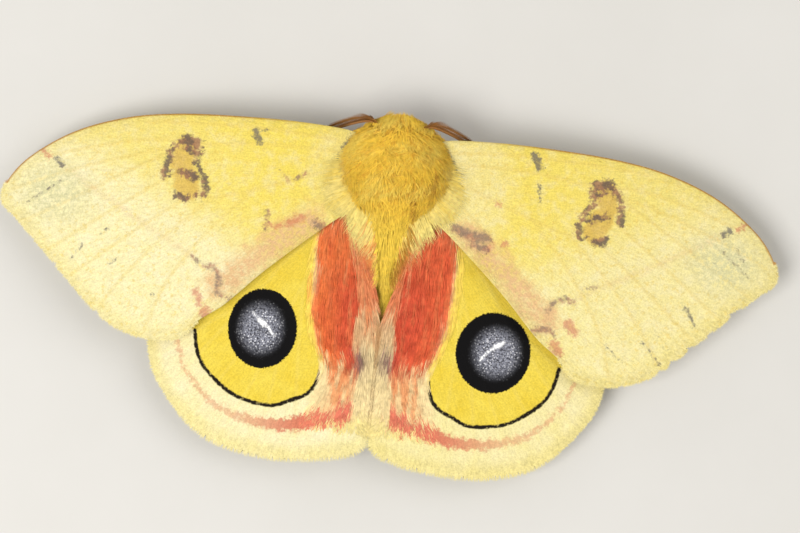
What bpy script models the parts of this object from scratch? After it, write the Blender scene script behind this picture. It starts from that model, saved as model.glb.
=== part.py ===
"""Io moth (Automeris io), a male at life size with its wings spread flat and both hindwing eyespots shown.

Metres, +Z up: the head points along +Y, the moth's right wing along +X, and the feet stand on Z = 0.
The sizes below are in millimetres, with Y counted from the line through the two eyespots. placed()
turns them into metres and moves the origin to the middle of the footprint on the ground.
"""

import math
import random

import bmesh
import bpy
from mathutils import Vector
from mathutils.geometry import delaunay_2d_cdt

MM = 0.001
GAP = 0.3
SPARE = 0.12
WELD = 0.006
MIDDLE_Y = 4.35
RIGHT, LEFT = 1, -1

# Body: each row is Y, half width, top and bottom of the firm core under the coat.
HEAD = (
    (17.38, 2.70, 7.25, 2.75),
    (18.00, 2.40, 6.85, 2.95),
    (18.60, 1.90, 6.30, 3.30),
    (19.05, 1.15, 5.70, 3.85),
    (19.25, 0.45, 5.15, 4.45),
)
THORAX = (
    (17.05, 2.85, 7.50, 2.60),
    (16.10, 3.45, 8.10, 2.20),
    (15.00, 3.80, 8.40, 2.00),
    (13.70, 3.90, 8.45, 1.95),
    (12.40, 3.60, 8.10, 2.10),
    (11.30, 3.05, 7.50, 2.25),
    (10.50, 2.50, 7.00, 2.40),
)
ABDOMEN = (
    (10.20, 2.30, 6.75, 2.45),
    (9.00, 2.25, 6.40, 2.35),
    (7.50, 1.95, 5.85, 2.30),
    (6.00, 1.62, 5.25, 2.25),
    (4.50, 1.35, 4.70, 2.15),
    (3.00, 1.10, 4.20, 2.10),
    (1.60, 0.80, 3.65, 2.15),
    (0.60, 0.50, 3.20, 2.30),
    (0.10, 0.22, 2.90, 2.50),
)
BODY_SIDES = 14

# Wings: the plate, its arched middle surface, and the veins raised in it.
PLATE = 0.5
VEIN_HEIGHT = 0.16
VEIN_WIDTH = 0.62
FOREWING_ROOT_Y = (11.3, 17.0)
HINDWING_ROOT_Y = (10.55, 11.5)
INNER_POINT_STEP = 3.2
INNER_POINT_CLEAR = 1.0

EYE_RADIUS = 0.95
EYE_CENTRE = (2.0, 18.35, 4.3)

# Coat: every lock is flat and tapered, as these shares of its length, width and thickness.
LOCK_RINGS = ((0.0, 0.7, 0.5), (0.32, 1.0, 1.0), (0.7, 0.7, 0.8))
LOCK_THICK = 0.5
LOCK_SUNK = 0.5
HAIR_SUNK = 0.22
# The head's hair runs forward over a wider form than the head itself.
HEAD_COAT = (
    (17.38, 2.70, 7.20, 2.80),
    (18.50, 2.35, 6.75, 3.00),
    (19.30, 2.00, 6.30, 3.40),
    (20.00, 1.60, 5.90, 3.90),
)
FORWARD, BACKWARD = 1, -1


def placed(x, y, z):
    return Vector((x * MM, (y - MIDDLE_Y) * MM, z * MM))


def between(a, b, share):
    return a + (b - a) * share


def section(stations, y):
    """Half width, middle height and half height of the body core at Y."""
    front, rear = stations[0], stations[-1]
    if (y - front[0]) * (rear[0] - front[0]) <= 0:
        row = front
    elif (y - rear[0]) * (front[0] - rear[0]) <= 0:
        row = rear
    else:
        for a, b in zip(stations, stations[1:]):
            if (y - a[0]) * (y - b[0]) <= 0:
                share = (y - a[0]) / (b[0] - a[0])
                row = [between(p, q, share) for p, q in zip(a, b)]
                break
    return row[1], (row[2] + row[3]) / 2, (row[2] - row[3]) / 2


def half_width_at(stations, y, z):
    """How far the core reaches sideways at Y and height z."""
    wide, middle, high = section(stations, y)
    return wide * math.sqrt(max(0.0, 1 - ((z - middle) / high) ** 2))


def core_mesh(stations):
    """The core as rings of points joined into one closed skin, in millimetres."""
    points, faces = [], []
    for row in stations:
        wide, middle, high = section(stations, row[0])
        for k in range(BODY_SIDES):
            turn = 2 * math.pi * k / BODY_SIDES
            points.append((wide * math.sin(turn), row[0], middle + high * math.cos(turn)))
    for ring in range(len(stations) - 1):
        for k in range(BODY_SIDES):
            a = ring * BODY_SIDES + k
            b = ring * BODY_SIDES + (k + 1) % BODY_SIDES
            faces.append((a, b, b + BODY_SIDES, a + BODY_SIDES))
    faces.append(tuple(range(BODY_SIDES))[::-1])
    last = (len(stations) - 1) * BODY_SIDES
    faces.append(tuple(range(last, last + BODY_SIDES)))
    return points, faces


def tube_mesh(path, radii, sides, floor=None):
    """A tube through the path's points with the given radius at each, closed at both ends.

    Its rings follow from the last one back to the first without a twist, so the last stretch lies level.
    """
    last = len(path) - 1
    over = Vector((0, 0, 1))
    rings = []
    for i in range(last, -1, -1):
        before = path[i] - path[i - 1] if i > 0 else path[1] - path[0]
        after = path[i + 1] - path[i] if i < last else before
        ahead = (before.normalized() + after.normalized()).normalized()
        over = (over - ahead * over.dot(ahead)).normalized()
        across = ahead.cross(over)
        ring = []
        for k in range(sides):
            turn = 2 * math.pi * (k + 0.5) / sides
            point = path[i] + (across * math.sin(turn) - over * math.cos(turn)) * radii[i]
            if floor is not None:
                point.z = max(point.z, floor)
            ring.append(tuple(point))
        rings.insert(0, ring)
    faces = []
    for ring in range(last):
        for k in range(sides):
            a = ring * sides + k
            b = ring * sides + (k + 1) % sides
            faces += [(a, b, b + sides), (a, b + sides, a + sides)]
    faces.append(tuple(range(sides))[::-1])
    faces.append(tuple(range(last * sides, last * sides + sides)))
    return [point for ring in rings for point in ring], faces


def smooth_path(keys, steps):
    """Points along a smooth curve through the key points."""
    keys = [Vector(key) for key in keys]
    padded = [2 * keys[0] - keys[1], *keys, 2 * keys[-1] - keys[-2]]
    path = []
    for a, b, c, d in zip(padded, padded[1:], padded[2:], padded[3:]):
        for step in range(steps):
            t = step / steps
            path.append(
                0.5 * (2 * b + (c - a) * t + (2 * a - 5 * b + 4 * c - d) * t**2 + (3 * b - a - 3 * c + d) * t**3)
            )
    path.append(keys[-1])
    return path


def mesh_object(name, points, faces):
    """A closed mesh object from points in millimetres, with its faces turned outwards."""
    mesh = bpy.data.meshes.new(name)
    mesh.from_pydata([placed(*point) for point in points], [], faces)
    shape = bmesh.new()
    shape.from_mesh(mesh)
    bmesh.ops.recalc_face_normals(shape, faces=shape.faces)
    bmesh.ops.triangulate(shape, faces=[face for face in shape.faces if len(face.verts) > 4])
    shape.to_mesh(mesh)
    shape.free()
    obj = bpy.data.objects.new(name, mesh)
    bpy.context.scene.collection.objects.link(obj)
    return obj


def finish(obj, colour, roughness):
    """Gives a node its own material and shades it smooth where it is round."""
    material = bpy.data.materials.new(obj.name)
    material.use_nodes = True
    shader = material.node_tree.nodes["Principled BSDF"]
    shader.inputs["Base Color"].default_value = (*colour, 1)
    shader.inputs["Roughness"].default_value = roughness
    obj.data.materials.clear()
    obj.data.materials.append(material)
    obj.data.shade_smooth()
    obj.data.set_sharp_from_angle(angle=math.radians(40))
    return obj


def mirrored(points, side):
    return [(x * side, y, z) for x, y, z in points]


def skin_at(stations, y, angle):
    """The core's skin at Y, with the angle counted from the top towards the moth's right side."""
    wide, middle, high = section(stations, y)
    turn = math.radians(angle)
    return Vector((wide * math.sin(turn), y, middle + high * math.cos(turn)))


def root_on(stations, y, angle):
    """The place just off the core's skin where something grows, and the direction straight out of it."""
    skin = skin_at(stations, y, angle)
    along = skin_at(stations, y + 0.3, angle) - skin_at(stations, y - 0.3, angle)
    around = skin_at(stations, y, angle + 3) - skin_at(stations, y, angle - 3)
    out = around.cross(along).normalized()
    return skin + out * (GAP + SPARE), out


def applied(obj, operation, others):
    """Joins or cuts the object with all the others by one Boolean, applies it and removes the others."""
    group = bpy.data.collections.new(obj.name + "_" + operation.lower())
    for other in others:
        group.objects.link(other)
    boolean = obj.modifiers.new(operation.lower(), "BOOLEAN")
    boolean.operation = operation
    boolean.operand_type = "COLLECTION"
    boolean.collection = group
    graph = bpy.context.evaluated_depsgraph_get()
    mesh = bpy.data.meshes.new_from_object(obj.evaluated_get(graph))
    obj.modifiers.remove(boolean)
    obj.data = mesh
    for other in others:
        bpy.data.objects.remove(other)
    bpy.data.collections.remove(group)


def keep_largest(obj):
    """Keeps only the largest closed surface, which fills a sealed hollow and drops a loose scrap."""
    shape = bmesh.new()
    shape.from_mesh(obj.data)
    bmesh.ops.remove_doubles(shape, verts=shape.verts, dist=WELD * MM)
    bmesh.ops.dissolve_degenerate(shape, edges=shape.edges, dist=WELD * MM)
    unseen, surfaces = set(shape.faces), []
    while unseen:
        surface, rim = [], [unseen.pop()]
        while rim:
            face = rim.pop()
            surface.append(face)
            near = {f for e in face.edges if len(e.link_faces) == 2 for f in e.link_faces} & unseen
            unseen -= near
            rim.extend(near)
        surfaces.append(surface)
    largest = max(surfaces, key=lambda surface: sum(face.calc_area() for face in surface))
    kept = set(largest)
    bmesh.ops.delete(shape, geom=[face for face in shape.faces if face not in kept], context="FACES")
    bmesh.ops.delete(shape, geom=[vert for vert in shape.verts if not vert.link_faces], context="VERTS")
    bmesh.ops.triangulate(shape, faces=shape.faces)
    shape.to_mesh(obj.data)
    shape.free()


# Wing surfaces: the forewing slopes from its root to its tip, arched across and along.
def forewing_height(x, y):
    reach = x - 4.5
    middle = 14 - 6 * min(reach / 15.5, 1)
    arch = 0.45 * math.sin(math.pi * min(max(reach, 0) / 30, 1))
    return 6.0 - 0.095 * reach + arch - 0.008 * (y - middle) ** 2


def hindwing_edge(y):
    """Where the hindwing's inner margin runs: beside the abdomen, then along the middle line."""
    return max(0.15, 0.15 + 0.285 * (y - 1.0) if y < 9 else 0.15 + 0.285 * 8 + 0.3 * (y - 9))


def hindwing_height(x, y):
    base = 4.7 - 0.07 * (x - 4.5) - 0.06 * (10.5 - y)
    rise = 1.15 * math.exp(-(((y - 7.0) / 3.2) ** 2))
    return base + rise * math.exp(-(((x - hindwing_edge(y)) / 1.7) ** 2))


FOREWING_OUTLINE = (
    (4.3, 17.95), (9.0, 18.25), (14.1, 18.2), (19.4, 17.9), (24.0, 17.1), (28.5, 15.4), (32.2, 12.8), (34.1, 10.4),
    (34.35, 8.7), (32.8, 7.3), (29.8, 4.5), (27.4, 2.2), (24.6, -0.4), (22.0, -1.65), (19.6, -1.95), (17.2, -1.5),
    (15.9, 0.0), (13.7, 1.7), (11.0, 4.5), (9.2, 6.2), (6.5, 8.6), (4.9, 10.1),
)
FOREWING_VEINS = {
    "subcosta": ((4.6, 16.9), (11.0, 17.35), (17.5, 17.2), (22.0, 16.9)),
    "radius": ((4.6, 16.0), (11.0, 16.0), (16.0, 15.5), (19.2, 14.9), (24.5, 13.4), (29.6, 11.5), (33.4, 9.8)),
    "radius_fork": ((16.0, 15.5), (21.5, 15.4), (26.0, 14.4), (30.3, 13.1)),
    "media_1": ((19.2, 14.9), (24.0, 12.0), (28.7, 9.1), (32.0, 7.2)),
    "media_2": ((18.6, 13.0), (23.0, 9.9), (27.0, 6.9), (29.6, 4.9)),
    "media_3": ((17.2, 11.2), (21.3, 8.0), (25.0, 4.9), (27.4, 2.9)),
    "cubitus_1": ((15.6, 10.9), (19.4, 7.2), (22.6, 3.4), (24.6, 0.5)),
    "cubitus_2": ((12.2, 11.9), (15.8, 7.8), (18.9, 3.2), (20.5, -1.3)),
    "cubitus": ((4.6, 14.8), (8.6, 13.2), (12.2, 11.9), (15.6, 10.9), (17.2, 11.2)),
    "cell_end": ((19.2, 14.9), (18.6, 13.0), (17.2, 11.2)),
    "anal": ((4.6, 13.6), (8.0, 10.5), (12.4, 5.9), (16.4, -0.2)),
}
HINDWING_OUTLINE = (
    (6.6, 11.2), (10.5, 9.0), (15.0, 5.6), (18.6, 2.2), (20.2, -1.0), (20.0, -3.6), (19.0, -5.7), (17.0, -8.2),
    (14.4, -9.9), (11.2, -10.9), (8.0, -11.15), (4.8, -10.9), (2.0, -10.3), (0.45, -9.5), (0.15, -8.4),
)
HINDWING_VEINS = {
    "subcosta": ((4.6, 10.7), (10.0, 7.9), (15.0, 3.9), (19.5, -1.4)),
    "radius": ((4.6, 10.2), (8.4, 6.6), (11.4, 2.6), (15.4, -0.4), (19.2, -3.5)),
    "media_1": ((11.4, 2.6), (14.6, -1.6), (17.9, -6.0)),
    "media_2": ((10.4, 0.4), (12.8, -3.8), (15.8, -8.4)),
    "media_3": ((8.7, 0.0), (10.6, -4.8), (13.0, -9.8)),
    "cubitus_1": ((8.1, 1.4), (8.8, -4.6), (9.8, -10.6)),
    "cubitus_2": ((7.0, 4.4), (6.8, -3.0), (6.3, -10.6)),
    "cubitus": ((4.6, 9.7), (7.0, 4.4), (8.1, 1.4), (8.7, 0.0)),
    "cell_end": ((11.4, 2.6), (10.4, 0.4), (8.7, 0.0)),
    "anal": ((3.9, 9.3), (4.2, 3.0), (3.9, -4.0), (3.0, -10.1)),
}


def forewing_outline():
    """The margin from the front of the root round to its back, then the root itself against the thorax."""
    margin = smooth_path([(x, y, 0) for x, y in FOREWING_OUTLINE], 2)
    root = []
    rear, front = FOREWING_ROOT_Y
    for step in range(5):
        y = between(rear, front, step / 4)
        low = forewing_height(4, y) - PLATE / 2
        root.append(Vector((half_width_at(THORAX, y, low) + GAP + SPARE, y, 0)))
    return [(p.x, p.y) for p in margin + root]


def hindwing_outline():
    margin = smooth_path([(x, y, 0) for x, y in HINDWING_OUTLINE], 2)
    inner = [Vector((hindwing_edge(y), y, 0)) for y in (-6, -3, 0, 1.5, 3, 4.5, 6, 7.5, 9, 10.1)]
    root = []
    for y in HINDWING_ROOT_Y:
        root.append(Vector((half_width_at(THORAX, y, 4.7) + GAP + SPARE, y, 0)))
    return [(p.x, p.y) for p in margin + inner + root]


def inner_fold():
    """Extra points where the hindwing rises beside the abdomen."""
    return [(hindwing_edge(y) + 1.35, y) for y in (9.0, 7.6, 6.2, 4.8, 3.4, 2.0, 0.4)]


def distance_to_path(point, path):
    """Distance from a flat point to a path, and how far along the path the nearest place is, from 0 to 1."""
    best, where, walked = 1e9, 0.0, 0.0
    total = sum((b - a).length for a, b in zip(path, path[1:]))
    for a, b in zip(path, path[1:]):
        run = b - a
        share = min(1, max(0, (point - a).dot(run) / run.length_squared))
        gap = (point - a - run * share).length
        if gap < best:
            best, where = gap, (walked + run.length * share) / total
        walked += run.length
    return best, where


def vein_half_width(where):
    """A vein thins from its root to the margin, and closes to a point at both ends."""
    ends = min(1, where / 0.06, (1 - where) / 0.10)
    return VEIN_WIDTH / 2 * between(1.0, 0.7, where) * max(ends, 0)


def inside(point, outline):
    x, y = point
    odd = False
    for (x1, y1), (x2, y2) in zip(outline, outline[1:] + outline[:1]):
        if (y1 > y) != (y2 > y) and x < x1 + (y - y1) * (x2 - x1) / (y2 - y1):
            odd = not odd
    return odd


def wing_mesh(outline, veins, height, fold):
    """A thin arched plate cut along its outline and its veins, with the same triangles above and below."""
    paths = [[p.to_2d() for p in smooth_path([(x, y, 0) for x, y in keys], 2)] for keys in veins.values()]
    flat = [Vector(point) for point in outline + fold]
    edges = []
    for path in paths:
        total = len(path) - 1
        for offset in (-1, 0, 1):
            start = len(flat)
            for i, point in enumerate(path):
                ahead = path[min(i + 1, total)] - path[max(i - 1, 0)]
                across = Vector((-ahead.y, ahead.x)).normalized()
                _, where = distance_to_path(point, path)
                flat.append(point + across * offset * vein_half_width(where))
            edges += [(k, k + 1) for k in range(start, start + total)]
    rim = [Vector(point) for point in outline]
    rim.append(rim[0])
    low_x, high_x = min(p[0] for p in outline), max(p[0] for p in outline)
    low_y, high_y = min(p[1] for p in outline), max(p[1] for p in outline)
    for column in range(int((high_x - low_x) / INNER_POINT_STEP) + 1):
        for row in range(int((high_y - low_y) / INNER_POINT_STEP) + 1):
            shift = 0.5 * (column % 2)
            x = low_x + (column + 0.5) * INNER_POINT_STEP
            y = low_y + (row + shift) * INNER_POINT_STEP
            spot = Vector((x, y))
            near = min(distance_to_path(spot, path)[0] for path in [*paths, rim])
            if inside((x, y), outline) and near > INNER_POINT_CLEAR:
                flat.append(spot)
    ring = list(range(len(outline)))
    flat, _, triangles, _, _, _ = delaunay_2d_cdt(flat, edges, [ring], 1, 0.02)
    upper, lower = [], []
    for point in flat:
        ridge = 0.0
        for path in paths:
            gap, where = distance_to_path(point, path)
            wide = vein_half_width(where)
            if gap < wide:
                ridge = max(ridge, VEIN_HEIGHT * (1 - gap / wide) * min(1, wide / 0.2))
        middle = height(point.x, point.y)
        upper.append((point.x, point.y, middle + PLATE / 2 + ridge))
        lower.append((point.x, point.y, middle - PLATE / 2 - ridge / 2))
    count = len(flat)
    faces = [tuple(t) for t in triangles]
    faces += [tuple(k + count for k in reversed(t)) for t in triangles]
    used = {}
    for a, b, c in triangles:
        for edge in ((a, b), (b, c), (c, a)):
            used[edge] = True
    for a, b in used:
        if (b, a) not in used:
            faces.append((b, a, a + count))
            faces.append((b, a + count, b + count))
    return upper + lower, faces


def make_wings():
    for side, word in ((RIGHT, "right"), (LEFT, "left")):
        for name, outline, veins, height, fold in (
            ("forewing", forewing_outline(), FOREWING_VEINS, forewing_height, []),
            ("hindwing", hindwing_outline(), HINDWING_VEINS, hindwing_height, inner_fold()),
        ):
            points, faces = wing_mesh(outline, veins, height, fold)
            wing = mesh_object(f"{name}_{word}", mirrored(points, side), faces)
            if name == "hindwing":
                applied(wing, "UNION", hindwing_locks(side))
                keep_largest(wing)
            finish(wing, (0.86, 0.74, 0.24), 0.8)


def ball(name, centre, radius):
    bpy.ops.mesh.primitive_uv_sphere_add(segments=12, ring_count=8, radius=radius * MM)
    obj = bpy.context.object
    obj.name = name
    obj.location = placed(*centre)
    return obj


def lock_mesh(spot, length, width, normal):
    """One lock along spot(share), its flat sides facing along normal(share), closed by its point."""
    points, faces = [], []
    for share, wide, thick in LOCK_RINGS:
        centre = spot(share)
        over = normal(share)
        ahead = spot(share + 0.05) - centre
        across = ahead.cross(over).normalized() * width * wide / 2
        over = over * LOCK_THICK * thick / 2
        points += [centre - across, centre + over, centre + across, centre - over]
    points.append(spot(1.0))
    for ring in range(len(LOCK_RINGS) - 1):
        for k in range(4):
            a, b = ring * 4 + k, ring * 4 + (k + 1) % 4
            faces += [(a, b, b + 4), (a, b + 4, a + 4)]
    last = (len(LOCK_RINGS) - 1) * 4
    faces += [(last + k, last + (k + 1) % 4, len(points) - 1) for k in range(4)]
    faces += [(0, 2, 1), (0, 3, 2)]
    return [tuple(point) for point in points], faces


def settled(share):
    """A lock leaves its root steeply and bends over to lie flat."""
    return 1 - (1 - share) ** 2


def body_lock(stations, y, angle, length, width, rise, way):
    """A lock on the body: it runs forward or backward over the core and fans a little outwards."""
    length *= random.uniform(0.88, 1.12)
    width *= random.uniform(0.92, 1.08)
    angle += random.uniform(-3, 3)
    fan = angle * 0.1 if abs(angle) < 90 else random.uniform(-6, 6)

    def frame(share):
        wide, _, high = section(stations, y + way * length * share)
        turn = math.radians(angle + fan * share)
        out = Vector((math.sin(turn) / wide, 0, math.cos(turn) / high)).normalized()
        return skin_at(stations, y + way * length * share, angle + fan * share), out

    def spot(share):
        skin, out = frame(share)
        return skin + out * between(-LOCK_SUNK, rise, settled(share))

    return mesh_object("lock", *lock_mesh(spot, length, width, lambda share: frame(share)[1]))


def wing_lock(x, y, length, width, rise, drift, side):
    """A lock of the long hair that lies over the inner part of a hindwing."""
    length *= random.uniform(0.9, 1.1)

    def spot(share):
        at = Vector((x + drift * share, y - length * share, 0))
        at.z = hindwing_height(at.x, at.y) + PLATE / 2 + between(-HAIR_SUNK, rise, settled(share))
        return at

    points, faces = lock_mesh(spot, length, width, lambda share: Vector((0, 0, 1)))
    return mesh_object("lock", mirrored(points, side), faces)


def head_locks():
    rows = (
        (HEAD_COAT, 17.75, (-32, 0, 32), 1.85, 1.8, 0.75),
        (HEAD_COAT, 17.7, (-64, 64), 0.95, 1.5, 0.7),
        (HEAD_COAT, 18.35, (-19, 19), 1.5, 1.4, 0.55),
        (HEAD_COAT, 18.3, (-150, 150), 1.4, 1.0, 0.3),
        (HEAD, 18.75, (-115, 0, 115), 0.9, 1.2, 0.3),
        (HEAD_COAT, 17.7, (180,), 1.2, 1.5, 0.3),
    )
    return [
        body_lock(stations, y, angle, length, width, rise, FORWARD)
        for stations, y, angles, length, width, rise in rows
        for angle in angles
    ]


def thorax_locks():
    locks = [body_lock(THORAX, 16.35, angle, 1.85, 2.3, 0.85, FORWARD) for angle in (-66, -33, 0, 33, 66)]
    for row in range(5):
        y = 16.4 - 1.18 * row
        angles = (-66, -40, -13, 13, 40, 66) if row % 2 else (-53, -27, 0, 27, 53)
        reach = 3.2 if row < 4 else 2.4
        locks += [body_lock(THORAX, y, angle, reach, 2.1, 0.95, BACKWARD) for angle in angles]
    for side in (RIGHT, LEFT):
        for row in range(4):
            y = 16.4 - 1.45 * row
            locks += [body_lock(THORAX, y, angle * side, 2.0, 1.8, 0.45, BACKWARD) for angle in (104, 128)]
    locks += [body_lock(THORAX, 16.4 - 1.7 * row, 180, 1.9, 1.7, 0.35, BACKWARD) for row in range(3)]
    return locks


def abdomen_locks():
    locks = []
    for row in range(7):
        y = 9.3 - 1.05 * row
        open_width = hindwing_edge(y - 0.8) - GAP
        spots = (-0.5, 0, 0.5) if row < 2 else (-0.36, 0.36) if row < 5 else (0,)
        width = open_width * (0.75 if row < 2 else 1.0 if row < 5 else 1.5)
        for spot in spots:
            wide, _, _ = section(ABDOMEN, y)
            angle = math.degrees(math.asin(open_width * spot / wide))
            locks.append(body_lock(ABDOMEN, y, angle, 2.3 - 0.12 * row, width, 0.5 - 0.02 * row, BACKWARD))
    for row in range(4):
        y = 9.5 - 2.1 * row
        width = 1.9 - 0.3 * row
        for angle in (-148, -112, 180, 112, 148):
            locks.append(body_lock(ABDOMEN, y, angle, 2.7, width, 0.35, BACKWARD))
    for angle in (-110, -50, 50, 110, 180):
        locks.append(body_lock(ABDOMEN, 1.1, angle, 1.4, 0.6, 0.1, BACKWARD))
    return locks


def hindwing_locks(side):
    locks = []
    for row in range(6):
        y = 9.5 - 1.75 * row
        inner = hindwing_edge(y) + 0.95
        outer = 4.3 if row == 0 else 5.8
        count = 2 if row == 0 else 3
        for k in range(count):
            x = between(inner, outer, k / (count - 1)) + random.uniform(-0.12, 0.12)
            locks.append(wing_lock(x, y, 3.4, 1.75, 0.5, 0.15, side))
    return locks


def slab(y_range, reach, height, side):
    """The space of a wing's base with the gap around it, from the thorax outwards."""
    points, faces, columns, rows = [], [], 6, 7
    for face in (1, -1):
        for i in range(rows):
            y = between(*y_range, i / (rows - 1))
            inner = half_width_at(THORAX, y, height(4, y) - PLATE / 2) + 0.03
            for j in range(columns):
                x = between(inner, reach, j / (columns - 1))
                half = PLATE / 2 + GAP + SPARE + (VEIN_HEIGHT if face > 0 else VEIN_HEIGHT / 2)
                points.append((x, y, height(x, y) + face * half))
    low = rows * columns
    for i in range(rows - 1):
        for j in range(columns - 1):
            a, b = i * columns + j, (i + 1) * columns + j
            faces += [(a, a + 1, b + 1, b), (low + b, low + b + 1, low + a + 1, low + a)]
    for j in range(columns - 1):
        a, b = j, (rows - 1) * columns + j
        faces += [(low + a, low + a + 1, a + 1, a), (b, b + 1, low + b + 1, low + b)]
    for i in range(rows - 1):
        a, b = i * columns, (i + 1) * columns
        faces += [(a, b, low + b, low + a)]
        a, b = a + columns - 1, b + columns - 1
        faces += [(low + a, low + b, b, a)]
    return mesh_object("slab", mirrored(points, side), faces)


def clearance(path, radii, sides, side):
    """A tube round a leg or feeler from the skin out, wider by the gap."""
    path = [path[0] - (path[1] - path[0]).normalized() * GAP, *path]
    radii = [radius + GAP + SPARE for radius in (radii[0], *radii)]
    points, faces = tube_mesh(path, radii, sides)
    return mesh_object("clearance", mirrored(points, side), faces)


def make_body():
    x, y, z = EYE_CENTRE
    sides = (RIGHT, LEFT)
    head_cuts = [ball("socket", (x * side, y, z), EYE_RADIUS + GAP) for side in sides]
    head_cuts += [clearance(antenna_path()[:FEELER_CUT], ANTENNA_RADII, ANTENNA_SIDES, side) for side in sides]
    thorax_cuts = [slab((9.2, 18.4), 7.5, forewing_height, side) for side in sides]
    thorax_cuts += [slab((8.6, 11.9), 7.5, hindwing_height, side) for side in sides]
    for row in LEGS.values():
        thorax_cuts += [clearance(leg_path(row)[:LEG_CUT], LEG_RADII, LEG_SIDES, side) for side in sides]
    for name, stations, colour, locks, cuts in (
        ("head", HEAD, (0.72, 0.47, 0.08), head_locks(), head_cuts),
        ("thorax", THORAX, (0.76, 0.52, 0.09), thorax_locks(), thorax_cuts),
        ("abdomen", ABDOMEN, (0.86, 0.64, 0.14), abdomen_locks(), []),
    ):
        node = mesh_object(name, *core_mesh(stations))
        applied(node, "UNION", locks)
        if cuts:
            applied(node, "DIFFERENCE", cuts)
        keep_largest(node)
        finish(node, colour, 0.9)


def make_eyes():
    for side, word in ((RIGHT, "right"), (LEFT, "left")):
        x, y, z = EYE_CENTRE
        finish(ball(f"eye_{word}", (x * side, y, z), EYE_RADIUS), (0.05, 0.03, 0.02), 0.2)


LEG_SIDES = 8
LEG_CUT = 5
LEGS = {
    "front": ((16.2, 142), (4.3, 15.7, 2.9), (6.0, 16.6, 0.95), (6.6, 16.8, 0.24), (8.2, 16.7, 0.24)),
    "middle": ((14.0, 142), (5.2, 13.4, 2.9), (7.6, 12.8, 0.95), (8.3, 12.6, 0.24), (10.0, 12.1, 0.24)),
    "hind": ((12.0, 142), (4.7, 9.6, 2.8), (6.8, 5.6, 0.95), (7.1, 4.9, 0.24), (7.6, 2.9, 0.24)),
}
LEG_RADII = (0.5, 0.55, 0.55, 0.5, 0.44, 0.38, 0.33, 0.29, 0.27, 0.26)


def leg_path(row):
    """From the underside of the thorax out to the knee, down to the floor and along it, in one step at the root."""
    (y, angle), knee, ankle, heel, toe = row
    root, out = root_on(THORAX, y, angle)
    path = smooth_path((root, root + out * 0.75, knee, ankle, heel, toe), 2)
    return path[:1] + path[2:]


def make_legs():
    for side, word in ((RIGHT, "right"), (LEFT, "left")):
        for name, row in LEGS.items():
            points, faces = tube_mesh(leg_path(row), LEG_RADII, LEG_SIDES, floor=0)
            leg = mesh_object(f"leg_{name}_{word}", mirrored(points, side), faces)
            finish(leg, (0.55, 0.28, 0.16), 0.85)


ANTENNA_ROOT = (18.5, 48)
ANTENNA_KEYS = ((2.9, 18.95, 5.6), (4.7, 18.45, 4.6), (6.8, 17.5, 3.8), (9.0, 16.4, 3.3))
BRANCH_PAIRS = 12
BRANCH_LENGTH = 1.6
BRANCH_WIDTH = 0.5
BRANCH_SLANT = 35
ANTENNA_RADII = (0.3, 0.3, 0.3, 0.3, 0.29, 0.28, 0.27, 0.26, 0.24, 0.2)
ANTENNA_SIDES = 6
FEELER_CUT = 5


def antenna_path():
    root, out = root_on(HEAD, *ANTENNA_ROOT)
    path = smooth_path((root, root + out * 0.45, *ANTENNA_KEYS), 2)
    return path[:1] + path[2:]


def branches(side):
    """Two rows of comb teeth along the feeler, one up and one down, longest at its middle."""
    path = antenna_path()
    found = []
    for pair in range(BRANCH_PAIRS):
        along = 3.1 + (len(path) - 4.3) * pair / (BRANCH_PAIRS - 1)
        index = min(int(along), len(path) - 2)
        root = path[index].lerp(path[index + 1], along - index)
        ahead = (path[index + 1] - path[index]).normalized()
        front = Vector((0, 1, 0))
        front = (front - ahead * front.dot(ahead)).normalized()
        over = ahead.cross(front) if ahead.cross(front).z > 0 else front.cross(ahead)
        reach = BRANCH_LENGTH * math.sin(math.pi * between(0.2, 0.86, pair / (BRANCH_PAIRS - 1)))
        for way in (1, -1):
            out = front * 0.5 + over * 0.85 * way
            slant = math.radians(BRANCH_SLANT)
            run = out * math.cos(slant) + ahead * math.sin(slant)
            flat = run.cross(ahead).normalized()
            points = []
            for share, wide in ((0.05, 1.0), (0.55, 0.8)):
                centre = root + run * reach * share
                across = ahead * BRANCH_WIDTH * wide / 2
                thick = flat * BRANCH_WIDTH * 0.8 * wide / 2
                points += [centre - across, centre + thick, centre + across, centre - thick]
            points.append(root + run * reach)
            faces = [(k, (k + 1) % 4, (k + 1) % 4 + 4, k + 4) for k in range(4)]
            faces += [(k + 4, (k + 1) % 4 + 4, 8) for k in range(4)]
            faces += [(0, 2, 1), (0, 3, 2)]
            found.append(mesh_object("branch", mirrored([tuple(p) for p in points], side), faces))
    return found


def make_antennae():
    for side, word in ((RIGHT, "right"), (LEFT, "left")):
        points, faces = tube_mesh(antenna_path(), ANTENNA_RADII, ANTENNA_SIDES)
        antenna = mesh_object(f"antenna_{word}", mirrored(points, side), faces)
        applied(antenna, "UNION", branches(side))
        keep_largest(antenna)
        finish(antenna, (0.55, 0.3, 0.08), 0.8)


for old in list(bpy.data.objects):
    bpy.data.objects.remove(old)
random.seed(7)
make_body()
make_eyes()
make_wings()
make_legs()
make_antennae()
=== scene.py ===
import math

import bpy
import numpy as np
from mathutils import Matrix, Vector
from mathutils.geometry import delaunay_2d_cdt


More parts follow.
